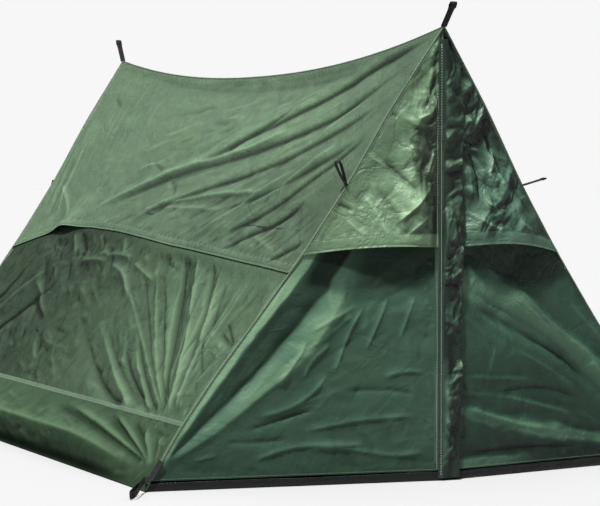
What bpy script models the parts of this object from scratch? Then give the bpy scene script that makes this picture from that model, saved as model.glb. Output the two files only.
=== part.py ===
"""A-frame ridge tent: two upright poles, sewn canopy, split zip door with storm flap.

Frame: +Z up, +Y from the door end to the rear end, ground at Z = 0, origin at the
centre of the bounding box on the ground.  Units are metres.
"""
import math

import bmesh
import bpy
from mathutils import Matrix, Vector

# ---------------------------------------------------------------- dimensions
HEIGHT = 1.07            # ground to apex
LENGTH = 2.13            # apex to apex
WIDTH = 1.42             # across the ground
Y_FRONT = -1.0615        # plane of the front apex
Y_REAR = Y_FRONT + LENGTH
FRONT_SETBACK = 0.115    # front corners stand back from the zip line
REAR_SETBACK = 0.050     # rear corners stand forward of the rear centre
RIDGE_SAG = 0.084        # drop of the unsupported ridge at mid length
FABRIC = 0.0015          # panel thickness
TUB_HEIGHT = 0.151       # height of the felled seam over the bathtub floor
SILL_HEIGHT = 0.0205
SEAM_R = 0.0020
SEAM_INSET = 0.0038      # panel edge to seam axis
DOOR_TOP = 0.915         # upper end of the zip
HOOD_PROUD = 0.040       # how far the front hoods stand off
TEETH_HALF = 0.0040
TAPE_EDGE = 0.0210
FLAP_LEFT = -0.0125
FLAP_RIGHT = 0.0480
RIGHT_DOOR_EDGE = 0.0505
WEB_W = 0.0150           # webbing width
WEB_T = 0.0016           # webbing thickness
POLE_SETBACK = 0.030     # pole axis behind the apex
POLE_R = 0.0080
UPPER_R = 0.0065

# half width of a cross-section against height, both as fractions
PROFILE = [(0.0, 1.0), (0.06, 0.946), (0.12, 0.896), (0.25, 0.762), (0.37, 0.624),
           (0.50, 0.481), (0.65, 0.330), (0.82, 0.180), (1.0, 0.0)]
# lower edge of the side hoods: fraction of length, fraction of height
SIDE_HEM = [(0.0, 0.462), (0.12, 0.473), (0.25, 0.485), (0.40, 0.498), (0.60, 0.520),
            (0.75, 0.525), (0.84, 0.512), (0.93, 0.482), (1.0, 0.456)]


def interp(table, x):
    if x <= table[0][0]:
        return table[0][1]
    for (x0, y0), (x1, y1) in zip(table, table[1:]):
        if x <= x1:
            return y0 + (y1 - y0) * (x - x0) / (x1 - x0)
    return table[-1][1]


def smooth(a, b, x):
    t = min(1.0, max(0.0, (x - a) / (b - a)))
    return t * t * (3 - 2 * t)


# ---------------------------------------------------------------- scene set-up
for ob in list(bpy.data.objects):
    bpy.data.objects.remove(ob, do_unlink=True)

TENT = bpy.data.collections.new("a_frame_tent")
CUTTERS = bpy.data.collections.new("cutters")
bpy.context.scene.collection.children.link(TENT)
bpy.context.scene.collection.children.link(CUTTERS)


def material(name, color, rough, metal=0.0):
    m = bpy.data.materials.new(name)
    m.use_nodes = True
    b = m.node_tree.nodes["Principled BSDF"]
    b.inputs["Base Color"].default_value = (*color, 1)
    b.inputs["Roughness"].default_value = rough
    b.inputs["Metallic"].default_value = metal
    m.diffuse_color = (*color, 1)
    return m


M_SHELL = material("coated_green_fabric", (0.075, 0.150, 0.080), 0.38)
M_TUB = material("tub_wall_fabric", (0.050, 0.105, 0.055), 0.40)
M_FLAP = material("flap_fabric", (0.030, 0.070, 0.045), 0.35)
M_FLOOR = material("black_floor_sheet", (0.008, 0.010, 0.009), 0.45)
M_MESH = material("insect_mesh", (0.015, 0.022, 0.017), 0.80)
M_SEAM = material("seam_binding", (0.045, 0.095, 0.050), 0.60)
M_WEB = material("black_webbing", (0.010, 0.011, 0.010), 0.75)
M_ZIP = material("zip_coil", (0.020, 0.045, 0.030), 0.45)
M_TAPE = material("zip_tape", (0.025, 0.055, 0.035), 0.80)
M_PULL = material("zip_metal", (0.55, 0.55, 0.53), 0.35, 0.9)
M_TUBE = material("pole_tube", (0.40, 0.41, 0.42), 0.30, 0.9)
M_LOCK = material("pole_lock", (0.03, 0.03, 0.03), 0.45)
M_FOOT = material("pole_rubber", (0.02, 0.02, 0.02), 0.85)


def add(name, data, mat, loc=(0, 0, 0)):
    ob = bpy.data.objects.new(name, data)
    ob.location = loc
    data.materials.append(mat)
    TENT.objects.link(ob)
    return ob


# ---------------------------------------------------------------- tent surface
def front_seam(side, u):
    g = interp(PROFILE, u)
    return Vector((side * WIDTH / 2 * g, Y_FRONT + FRONT_SETBACK * g, u * HEIGHT))


def rear_seam(side, u):
    g = interp(PROFILE, u)
    return Vector((side * WIDTH / 2 * g, Y_REAR - REAR_SETBACK * g, u * HEIGHT))


def sag(t):
    return RIDGE_SAG * (1 - abs(2 * t - 1) ** 2.2)


def side_normal(side):
    return Vector((side * HEIGHT, 0, WIDTH / 2)).normalized()


def side_point(side, t, u, off=0.0, drop=0.0):
    """Point of a long side: t from front to rear, u up, off outward."""
    p = front_seam(side, u).lerp(rear_seam(side, u), t)
    p.z -= sag(t) * drop
    return p + side_normal(side) * off


def end_point(side, h, z, end, off=0.0):
    """Point of an end wall: h is the distance from the centre line along X."""
    g = h / (WIDTH / 2)
    if end == "front":
        n = Vector((side * FRONT_SETBACK, -WIDTH / 2, 0)).normalized()
        return Vector((side * h, Y_FRONT + FRONT_SETBACK * g, z)) + n * off
    n = Vector((side * REAR_SETBACK, WIDTH / 2, 0)).normalized()
    return Vector((side * h, Y_REAR - REAR_SETBACK * g, z)) + n * off


def sheet(name, rows, mat, thickness=FABRIC):
    """A grid of mid-surface points thickened both ways into one closed panel."""
    bm = bmesh.new()
    grid = [[bm.verts.new(p) for p in row] for row in rows]
    for a, b in zip(grid, grid[1:]):
        for i in range(len(a) - 1):
            bm.faces.new((a[i], a[i + 1], b[i + 1], b[i]))
    bmesh.ops.triangulate(bm, faces=bm.faces[:])
    bmesh.ops.recalc_face_normals(bm, faces=bm.faces[:])
    me = bpy.data.meshes.new(name)
    bm.to_mesh(me)
    bm.free()
    me.shade_smooth()
    ob = add(name, me, mat)
    so = ob.modifiers.new("thickness", "SOLIDIFY")
    so.thickness = thickness
    so.offset = 0.0
    return ob


def side_hem(t):
    return interp(SIDE_HEM, t)


def hood_lift(t):
    """The side hood lies close to the wall and lifts towards the rear."""
    ends = smooth(0.0, 0.08, t) * (1 - smooth(0.92, 1.0, t))
    return 0.0010 + ends * (0.006 + 0.014 * math.exp(-((t - 0.80) / 0.13) ** 2))


COLS = 17


def t_at(i, inset=SEAM_INSET):
    """Fraction of the length, with both ends held clear of the corner seams."""
    e = inset / LENGTH
    return e + (1 - 2 * e) * i / (COLS - 1)


for side, tag in ((-1, "left"), (1, "right")):
    # roof: ridge to the free hem of the vent hood
    rows = []
    for k in range(9):
        s = k / 8
        row = []
        for i in range(COLS):
            t = t_at(i)
            uh = side_hem(t)
            top = 1 - 0.0042 / HEIGHT
            u = uh + (top - uh) * s
            off = hood_lift(t) * (1 - smooth(0.0, 0.45, s))
            row.append(side_point(side, t, u, off, s ** 1.15))
        rows.append(row)
    sheet("roof_" + tag, rows, M_SHELL)

    # wall between the felled seam and the hood
    rows = []
    for k in range(7):
        s = k / 6
        row = []
        for i in range(COLS):
            t = t_at(i, 0.0075)
            u0 = (TUB_HEIGHT + 0.0012) / HEIGHT
            u1 = side_hem(t) + 0.012
            u = u0 + (u1 - u0) * s
            off = -0.0034 * smooth(0.45, 1.0, s)
            row.append(side_point(side, t, u, off))
        rows.append(row)
    sheet("wall_" + tag, rows, M_SHELL)

    # insect mesh behind the hood
    rows = []
    for k in range(3):
        s = k / 2
        row = []
        for i in range(COLS):
            t = t_at(i, 0.0130)
            u0 = side_hem(t) + 0.0145
            u1 = 0.600
            u = u0 + (u1 - u0) * s
            drop = max(0.0, (u - side_hem(t)) / (1 - side_hem(t))) ** 1.15
            row.append(side_point(side, t, u, -0.0034, drop))
        rows.append(row)
    sheet("vent_mesh_" + tag, rows, M_MESH, 0.0010)

    # bathtub wall from the ground to the felled seam
    rows = []
    for z in (0.0012, 0.040, 0.080, 0.115, TUB_HEIGHT - 0.0012):
        rows.append([side_point(side, t_at(i), z / HEIGHT) for i in range(0, COLS, 2)])
    sheet("tub_wall_" + tag, rows, M_TUB)


def half_width(z):
    return WIDTH / 2 * interp(PROFILE, z / HEIGHT)


# ---------------------------------------------------------------- rear end
REAR_HEM = 0.512
RCOLS = 13


def rear_row(z_of, off_of, inset=0.0060):
    row = []
    for i in range(RCOLS):
        q = -1 + 2 * i / (RCOLS - 1)
        z = z_of(q)
        h = (half_width(z) - inset) * abs(q)
        row.append(end_point(-1 if q < 0 else 1, h, z, "rear", off_of(q)))
    return row


def rear_hem(q):
    return (REAR_HEM + 0.010 * (1 - q * q)) * HEIGHT


sheet("tub_wall_rear", [rear_row(lambda q, z=z: z, lambda q: 0.0)
                        for z in (0.0012, 0.075, TUB_HEIGHT - 0.0012)], M_TUB)
sheet("rear_lower_panel",
      [rear_row(lambda q, s=s: TUB_HEIGHT + 0.0012 + (rear_hem(q) + 0.012 - TUB_HEIGHT) * s,
                lambda q, s=s: -0.0034 * smooth(0.5, 1.0, s)) for s in (0, 0.25, 0.5, 0.75, 1.0)],
      M_SHELL)
sheet("vent_mesh_rear",
      [rear_row(lambda q, s=s: (rear_hem(q) + 0.015) * (1 - s) + 0.645 * s,
                lambda q: -0.0034) for s in (0, 0.5, 1.0)], M_MESH, 0.0010)
sheet("rear_upper_panel",
      [rear_row(lambda q, s=s: rear_hem(q) * (1 - s) + 1.052 * s,
                lambda q, s=s: 0.0008 + 0.030 * (1 - q * q) * (1 - smooth(0, 0.5, s)))
       for s in (0, 0.12, 0.25, 0.4, 0.6, 0.8, 1.0)], M_SHELL)

# ---------------------------------------------------------------- floor
outline = []
for x, y in ((-WIDTH / 2, Y_FRONT + FRONT_SETBACK), (0, Y_FRONT), (WIDTH / 2, Y_FRONT + FRONT_SETBACK),
             (WIDTH / 2, Y_REAR - REAR_SETBACK), (0, Y_REAR), (-WIDTH / 2, Y_REAR - REAR_SETBACK)):
    outline.append((x * (1 - 0.006 / (WIDTH / 2)), y * (1 - 0.006 / (LENGTH / 2))))
cu = bpy.data.curves.new("groundsheet", "CURVE")
cu.dimensions = "2D"
cu.fill_mode = "BOTH"
cu.extrude = FABRIC / 2
sp = cu.splines.new("POLY")
sp.points.add(len(outline) - 1)
for p, (x, y) in zip(sp.points, outline):
    p.co = (x, y, 0, 1)
sp.use_cyclic_u = True
add("groundsheet", cu, M_FLOOR, (0, 0, FABRIC / 2))

for side, tag in ((-1, "left"), (1, "right")):
    inner = 0.0004 + FABRIC
    rows = [[end_point(side, inner + (half_width(z) - SEAM_INSET - inner) * k / 4, z, "front")
             for k in range(5)] for z in (0.0006, SILL_HEIGHT)]
    sheet("front_sill_" + tag, rows, M_FLOOR)

# ---------------------------------------------------------------- doors


def front_hem(q):
    """Hood edge of the front; q is 0 at the zip and 1 at the corner seam."""
    return (0.515 + 0.006 * math.sin(math.pi * q) - 0.014 * q ** 2) * HEIGHT


def door_row(side, edge, z_of, off_of, n=9):
    row = []
    for i in range(n):
        q = i / (n - 1)
        z = z_of(q)
        h = edge + (half_width(z) - 0.0060 - edge) * q
        row.append(end_point(side, h, z, "front", off_of(q)))
    return row


def hood_bulge(q, s):
    across = math.sin(math.pi * q) ** 0.8 if 0 < q < 1 else 0.0
    return 0.0012 + HOOD_PROUD * across * (1 - smooth(0.0, 0.62, s))


for side, tag, edge in ((-1, "left", TAPE_EDGE + 0.0004), (1, "right", RIGHT_DOOR_EDGE)):
    z_low = SILL_HEIGHT + 0.003
    sheet("door_%s_lower" % tag,
          [door_row(side, edge, lambda q, s=s: z_low + (front_hem(q) + 0.012 - z_low) * s,
                    lambda q, s=s: -0.0034 * smooth(0.6, 1.0, s)) for s in (0, 0.2, 0.4, 0.6, 0.8, 1.0)],
          M_SHELL)
    sheet("door_%s_vent_mesh" % tag,
          [door_row(side, edge, lambda q, s=s: (front_hem(q) + 0.015) * (1 - s) + 0.640 * s,
                    lambda q: -0.0034) for s in (0, 0.5, 1.0)], M_MESH, 0.0010)
    sheet("door_%s_hood" % tag,
          [door_row(side, edge, lambda q, s=s: front_hem(q) * (1 - s) + DOOR_TOP * s,
                    lambda q, s=s: hood_bulge(q, s)) for s in (0, 0.08, 0.18, 0.3, 0.45, 0.62, 0.8, 1.0)],
          M_SHELL)

ZIP_LOW, ZIP_HIGH = SILL_HEIGHT + 0.004, DOOR_TOP
FACING_TOP = 0.845      # the facing ends below the flap's sewn-down head, so the door can pass it


def strip(name, side, h0, h1, z0, z1, mat, off=0.0, thickness=0.0010, n=2):
    rows = [[end_point(side, h0 + (h1 - h0) * i / (n - 1), z, "front", off) for i in range(n)]
            for z in (z0, (z0 + z1) / 2, z1)]
    return sheet(name, rows, mat, thickness)


strip("zip_tape_left", -1, TEETH_HALF + 0.0005, TAPE_EDGE, ZIP_LOW, ZIP_HIGH, M_TAPE)
strip("zip_facing_right", 1, TEETH_HALF + 0.0010, RIGHT_DOOR_EDGE - 0.0010, ZIP_LOW, FACING_TOP, M_TAPE)

# zip coil: a thin bar down the centre line
bm = bmesh.new()
bmesh.ops.create_cube(bm, size=1.0)
bmesh.ops.scale(bm, vec=(2 * TEETH_HALF, 0.0018, ZIP_HIGH - ZIP_LOW), verts=bm.verts)
me = bpy.data.meshes.new("zip_coil")
bm.to_mesh(me)
bm.free()
add("zip_coil", me, M_ZIP, (0, Y_FRONT - 0.0002, (ZIP_HIGH + ZIP_LOW) / 2))

# slider body with a bevelled shell, and its pull hanging from it
SLIDER_Z = 0.283
bm = bmesh.new()
bmesh.ops.create_cube(bm, size=1.0)
bmesh.ops.scale(bm, vec=(0.0092, 0.0024, 0.0140), verts=bm.verts)
me = bpy.data.meshes.new("zip_slider")
bm.to_mesh(me)
bm.free()
ob = add("zip_slider", me, M_PULL, (0, Y_FRONT - 0.0027, SLIDER_Z))
bv = ob.modifiers.new("edges", "BEVEL")
bv.width = 0.0008
bv.segments = 2


def ring_outline(outer, inner):
    cu = bpy.data.curves.new("outline", "CURVE")
    cu.dimensions = "2D"
    cu.fill_mode = "BOTH"
    for pts in (outer, inner):
        if not pts:
            continue
        sp = cu.splines.new("POLY")
        sp.points.add(len(pts) - 1)
        for p, (x, y) in zip(sp.points, pts):
            p.co = (x, y, 0, 1)
        sp.use_cyclic_u = True
    return cu


def stadium(cx, cy, r, length, n=8):
    pts = [(cx + r * math.cos(a), cy + length / 2 + r * math.sin(a))
           for a in (math.pi * i / n for i in range(n + 1))]
    pts += [(cx + r * math.cos(a), cy - length / 2 + r * math.sin(a))
            for a in (math.pi + math.pi * i / n for i in range(n + 1))]
    return pts


cu = ring_outline(stadium(0, 0, 0.0040, 0.016), stadium(0, -0.004, 0.0017, 0.006))
cu.extrude = 0.0006
ob = add("zip_pull", cu, M_PULL, (0, Y_FRONT - 0.0052, SLIDER_Z - 0.0125))
ob.rotation_euler = (math.radians(90), 0, 0)

# storm flap: sewn left of the zip, free on the right
FLAP_Z0, FLAP_Z1 = 0.0050, DOOR_TOP


def flap_rows(z_list, right_of, left=FLAP_LEFT):
    rows = []
    for z in z_list:
        r = right_of(z)
        pts = [(left, 0.0019), (left + 0.0065, 0.0078), (left + 0.0065 + (r - left - 0.0065) * 0.5, 0.0083),
               (r, 0.0087)]
        rows.append([Vector((x, Y_FRONT - d, z)) for x, d in pts])
    return rows


sheet("storm_flap", flap_rows([FLAP_Z0 + (FLAP_Z1 - FLAP_Z0) * k / 6 for k in range(7)],
                              lambda z: FLAP_RIGHT), M_FLAP, 0.0012)
sheet("storm_flap_head", flap_rows((DOOR_TOP + 0.0025, 0.955, 1.000, 1.036),
                                   lambda z: min(FLAP_RIGHT, half_width(z) - 0.0015)), M_FLAP, 0.0012)

# reinforced gusset over the top of the zip
rows = []
for z in (DOOR_TOP + 0.0025, 0.960, 1.010, 1.052):
    row = []
    for i in range(9):
        q = -1 + i / 4
        row.append(end_point(-1 if q < 0 else 1, (half_width(z) - SEAM_INSET) * abs(q), z, "front"))
    rows.append(row)
sheet("front_apex_gusset", rows, M_SHELL)

# ---------------------------------------------------------------- seams


def rod(name, pts, r, mat):
    cu = bpy.data.curves.new(name, "CURVE")
    cu.dimensions = "3D"
    cu.bevel_depth = r
    cu.bevel_resolution = 1
    cu.use_fill_caps = True
    sp = cu.splines.new("POLY")
    sp.points.add(len(pts) - 1)
    for p, co in zip(sp.points, pts):
        p.co = (*co, 1)
    return add(name, cu, mat)


rod("ridge_seam", [Vector((0, Y_FRONT + 0.012 + (LENGTH - 0.024) * i / 24,
                           HEIGHT + 0.0008 - sag((0.012 + (LENGTH - 0.024) * i / 24) / LENGTH)))
                   for i in range(25)], SEAM_R, M_SEAM)
for side, tag in ((-1, "left"), (1, "right")):
    us = [0.006 + (0.986 - 0.006) * i / 24 for i in range(25)]
    rod("corner_seam_front_" + tag, [front_seam(side, u) for u in us], SEAM_R, M_SEAM)
    rod("corner_seam_rear_" + tag, [rear_seam(side, u) for u in us], SEAM_R, M_SEAM)

# ---------------------------------------------------------------- webbing loops


def loop(name, base, direction, width_axis, length, eye=0.0060):
    """Folded webbing: two layers sewn together at the root, open at the tip."""
    d = Vector(direction).normalized()
    w = Vector(width_axis)
    w = (w - d * w.dot(d)).normalized()
    b = w.cross(d)

    def half(a):
        s = a / length
        return WEB_T + 0.0001 + (eye + WEB_T - WEB_T) * smooth(0.25, 0.72, s)

    n = 12
    r = half(length)
    upper = [(length * 0.999 * i / n - 0, half(length * i / n)) for i in range(n + 1)]
    body_end = length - r
    upper = [(body_end * i / n, half(body_end * i / n * length / body_end)) for i in range(n + 1)]
    tip = [(body_end + r * math.sin(a), r * math.cos(a)) for a in (math.pi * i / 8 for i in range(1, 8))]
    outer = upper + tip + [(x, -y) for x, y in reversed(upper)]
    inner = [(x, y - WEB_T) for x, y in upper if y > WEB_T + 0.0012]
    itip = [(body_end + (r - WEB_T) * math.sin(a), (r - WEB_T) * math.cos(a))
            for a in (math.pi * i / 8 for i in range(1, 8))]
    inner = inner + itip + [(x, -y) for x, y in reversed(inner)]
    cu = ring_outline(outer, inner)
    cu.name = name
    cu.extrude = WEB_W / 2
    ob = add(name, cu, M_WEB)
    m = Matrix((d, b, w)).transposed().to_4x4()
    m.translation = Vector(base)
    ob.matrix_world = m
    return ob


def away(p, d, dist):
    return Vector(p) + Vector(d).normalized() * dist


apex_f = Vector((0, Y_FRONT, HEIGHT))
apex_r = Vector((0, Y_REAR, HEIGHT))
d = Vector((0, -math.cos(math.radians(47)), math.sin(math.radians(47))))
loop("apex_loop_front", away(apex_f, d, 0.004), d, (1, 0, 0), 0.070)
d = Vector((0, math.cos(math.radians(58)), math.sin(math.radians(58))))
loop("apex_loop_rear", away(apex_r, d, 0.004), d, (1, 0, 0), 0.076)

for side, tag in ((-1, "left"), (1, "right")):
    u = 0.650
    d = Vector((-0.42, -0.10, 0.90)) if side < 0 else Vector((0.93, -0.08, 0.26))
    loop("pull_out_loop_front_" + tag, away(front_seam(side, u), d, 0.0062), d, (0, 1, 0), 0.060)
    d = Vector((0, 0.66, -0.75))
    loop("pull_out_loop_rear_" + tag, away(rear_seam(side, u), d, 0.0078), d, (1, 0, 0), 0.060)
    d = Vector((side * 0.56, -0.82, -0.142))
    base = Vector((side * WIDTH / 2, Y_FRONT + FRONT_SETBACK, 0.0275))
    loop("stake_loop_front_" + tag, away(base, (d.x, d.y, 0), 0.0060), d, (0, 0, 1), 0.126)
    d = Vector((side * 0.70, 0.70, -0.142))
    base = Vector((side * WIDTH / 2, Y_REAR - REAR_SETBACK, 0.0275))
    loop("stake_loop_rear_" + tag, away(base, (d.x, d.y, 0), 0.0060), d, (0, 0, 1), 0.126)

# ---------------------------------------------------------------- poles


def turned(name, profile, mat, loc, closed):
    """Turn a profile of (radius, z), listed down the outside, about the pole's axis."""
    bm = bmesh.new()
    vs = [bm.verts.new((r, 0, z)) for r, z in profile]
    for a, b in zip(vs, vs[1:]):
        bm.edges.new((a, b))
    if closed:
        bm.edges.new((vs[-1], vs[0]))
    me = bpy.data.meshes.new(name)
    bm.to_mesh(me)
    bm.free()
    ob = add(name, me, mat, loc)
    sc = ob.modifiers.new("turn", "SCREW")
    sc.axis = "Z"
    sc.steps = sc.render_steps = 20
    sc.use_merge_vertices = True
    sc.merge_threshold = 0.00001
    sc.use_smooth_shade = True
    return ob


for y, tag in ((Y_FRONT + POLE_SETBACK, "front"), (Y_REAR - POLE_SETBACK, "rear")):
    at = (0, y, 0)
    turned("pole_%s_foot" % tag, [(0, 0.0300 - 0.0240), (0.0084, 0.0060), (0.0084, 0.0300), (0.0105, 0.0300),
                                  (0.0120, 0.0080), (0.0120, 0.0019), (0, 0.0019)][::1], M_FOOT, at, False)
    turned("pole_%s_lower_tube" % tag, [(POLE_R, 0.600), (POLE_R, 0.0064), (0.0070, 0.0064), (0.0070, 0.600)],
           M_TUBE, at, True)
    turned("pole_%s_lock_collar" % tag, [(0.0105, 0.622), (0.0125, 0.616), (0.0125, 0.580), (0.0105, 0.574),
                                         (0.0083, 0.574), (0.0083, 0.6004), (0.0069, 0.6004), (0.0069, 0.622)],
           M_LOCK, at, True)
    turned("pole_%s_upper_tube" % tag, [(UPPER_R, 0.985), (UPPER_R, 0.400), (0.0054, 0.400), (0.0054, 0.985)],
           M_TUBE, at, True)
    turned("pole_%s_tip" % tag, [(0, 1.0040), (0.0022, 1.0040), (0.0034, 1.0025), (0.0034, 0.9900), (0.0066, 0.9888),
                                 (0.0066, 0.9853), (0.0050, 0.9853), (0.0050, 0.9600), (0, 0.9600)],
           M_LOCK, at, False)
    turned("pole_cup_" + tag, [(0, 1.0140), (0.0095, 1.0140), (0.0120, 1.0110), (0.0120, 0.9910), (0.0080, 0.9910),
                               (0.0080, 1.0060), (0, 1.0060)], M_WEB, at, False)
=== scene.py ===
import math
import bpy
import numpy as np
from mathutils import Euler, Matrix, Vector


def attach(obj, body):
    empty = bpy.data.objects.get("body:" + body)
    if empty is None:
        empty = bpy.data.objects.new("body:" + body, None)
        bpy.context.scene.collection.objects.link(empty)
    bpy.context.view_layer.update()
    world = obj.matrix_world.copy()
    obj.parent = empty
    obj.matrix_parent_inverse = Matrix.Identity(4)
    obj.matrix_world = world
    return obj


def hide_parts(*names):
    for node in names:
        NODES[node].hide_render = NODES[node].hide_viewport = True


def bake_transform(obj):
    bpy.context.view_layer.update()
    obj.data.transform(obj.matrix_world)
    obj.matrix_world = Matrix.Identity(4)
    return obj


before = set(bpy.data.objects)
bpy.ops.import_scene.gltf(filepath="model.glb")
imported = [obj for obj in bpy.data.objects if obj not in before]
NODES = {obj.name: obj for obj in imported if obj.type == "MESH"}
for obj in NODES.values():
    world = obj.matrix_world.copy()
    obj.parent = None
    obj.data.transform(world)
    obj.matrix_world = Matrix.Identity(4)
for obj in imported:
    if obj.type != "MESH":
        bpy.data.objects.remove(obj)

scene = bpy.context.scene
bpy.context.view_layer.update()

# ---------------------------------------------------------------- camera
cam_data = bpy.data.cameras.new("camera")
cam_data.lens = 141.02
cam_data.sensor_width = 36.0
cam = bpy.data.objects.new("camera", cam_data)
cam.location = (-2.6373, -5.9357, 0.7559)
cam.rotation_euler = Euler((math.radians(90 - 2.2553), math.radians(0.02), math.radians(-24.926)))
scene.collection.objects.link(cam)
scene.camera = cam
cam_data.clip_end = 200.0

# ---------------------------------------------------------------- sizes, as in the CAD source
HEIGHT, LENGTH, WIDTH = 1.07, 2.13, 1.42
HALF = WIDTH / 2
Y_FRONT = -1.0615
Y_REAR = Y_FRONT + LENGTH
FRONT_SETBACK, REAR_SETBACK = 0.115, 0.050
RIDGE_SAG = 0.084
SEAM_Z = 0.151            # felled seam between the wall and the tub
SILL_HEIGHT = 0.0205
DOOR_TOP = 0.915
SLOPE = math.hypot(HEIGHT, HALF)
PROFILE = [(0, 1), (.06, .946), (.12, .896), (.25, .762), (.37, .624), (.50, .481), (.65, .330), (.82, .180), (1, 0)]
SIDE_HEM = [(0, .462), (.12, .473), (.25, .485), (.40, .498), (.60, .520), (.75, .525), (.84, .512), (.93, .482), (1, .456)]


def smooth(a, b, x):
    x = np.clip((np.asarray(x, float) - a) / (b - a), 0, 1)
    return x * x * (3 - 2 * x)


def rounded(table, passes=26, n=401):
    """A smooth curve through a table's points, for np.interp."""
    xs = np.array([p[0] for p in table], float)
    ys = np.array([p[1] for p in table], float)
    x = np.linspace(xs[0], xs[-1], n)
    y = np.interp(x, xs, ys)
    for _ in range(passes * 8):
        y[1:-1] = 0.25 * y[:-2] + 0.5 * y[1:-1] + 0.25 * y[2:]
    return x, y


GX, GY = rounded(PROFILE)
HX, HY = rounded(SIDE_HEM)


def prof(u):
    return np.interp(u, GX, GY)


def side_hem(t):
    return np.interp(t, HX, HY)


def sag(t):
    return RIDGE_SAG * (1 - np.abs(2 * t - 1) ** 2.2)


def seam(side, u, end):
    g = prof(u)
    y = Y_FRONT + FRONT_SETBACK * g if end == "front" else Y_REAR - REAR_SETBACK * g
    return np.stack([side * HALF * g, y, u * HEIGHT + 0 * g], -1)


def side_normal(side):
    n = np.array([side * HEIGHT, 0, HALF])
    return n / np.linalg.norm(n)


def side_pt(side, t, u, off=0.0, drop=0.0):
    t, u = np.broadcast_arrays(np.asarray(t, float), np.asarray(u, float))
    p = seam(side, u, "front") * (1 - t)[..., None] + seam(side, u, "rear") * t[..., None]
    p[..., 2] -= sag(t) * drop
    return p + side_normal(side) * np.asarray(off)[..., None]


def end_normal(side, end):
    if end == "front":
        n = np.array([side * FRONT_SETBACK, -HALF, 0.0])
    else:
        n = np.array([side * REAR_SETBACK, HALF, 0.0])
    return n / np.linalg.norm(n)


def end_pt(side, h, z, end, off=0.0):
    h, z = np.broadcast_arrays(np.asarray(h, float), np.asarray(z, float))
    y = Y_FRONT + FRONT_SETBACK * h / HALF if end == "front" else Y_REAR - REAR_SETBACK * h / HALF
    return np.stack([side * h, y, z], -1) + end_normal(side, end) * np.asarray(off)[..., None]


def half_width(z):
    return HALF * prof(z / HEIGHT)


# ---------------------------------------------------------------- noise and folds
_TABLE = np.random.RandomState(11).rand(128, 128) * 2 - 1


def vnoise(x, y):
    xi, yi = np.floor(x).astype(int), np.floor(y).astype(int)
    xf, yf = x - xi, y - yi
    u, v = xf ** 3 * (xf * (xf * 6 - 15) + 10), yf ** 3 * (yf * (yf * 6 - 15) + 10)
    a = _TABLE[xi % 128, yi % 128]
    b = _TABLE[(xi + 1) % 128, yi % 128]
    c = _TABLE[xi % 128, (yi + 1) % 128]
    d = _TABLE[(xi + 1) % 128, (yi + 1) % 128]
    return (a * (1 - u) + b * u) * (1 - v) + (c * (1 - u) + d * u) * v


def fbm(x, y, seed=0.0, octaves=3, gain=0.5):
    out, amp = 0.0, 1.0
    for k in range(octaves):
        out = out + amp * vnoise(x * 2 ** k + seed * 7.3 + 13.7 * k, y * 2 ** k + seed * 3.1 + 5.3 * k)
        amp *= gain
    return out


def facets(x, y):
    """Noise made of flat triangles."""
    xi, yi = np.floor(x).astype(int), np.floor(y).astype(int)
    u, v = x - xi, y - yi
    a = _TABLE[xi % 128, yi % 128]
    b = _TABLE[(xi + 1) % 128, yi % 128]
    c = _TABLE[xi % 128, (yi + 1) % 128]
    d = _TABLE[(xi + 1) % 128, (yi + 1) % 128]
    return np.where(u > v, a + (b - a) * u + (d - b) * v, a + (c - a) * v + (d - c) * u)


def crumpled(x, y, seed, scale, amp):
    """Stiff cloth that has been scrunched and pulled out again: flat facets between sharp creases."""
    out = 0.0
    wx = x + scale * .55 * vnoise(x / scale * .7 + seed, y / scale * .7)
    wy = y + scale * .55 * vnoise(x / scale * .7, y / scale * .7 + seed * 1.9)
    for k, (turn, size, part) in enumerate(((.80, 1.0, .62), (-.55, .60, .40), (.25, .34, .20), (1.35, .18, .08))):
        c, n = math.cos(turn), math.sin(turn)
        a = (wx * c + wy * n) / (scale * size * 2.1)
        b = (wy * c - wx * n) / (scale * size)
        out = out + part * facets(a + seed * 3.1 + k * 9.2 + .35 * b, b + seed * 1.3 + k * 4.4)
    return out * amp


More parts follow.
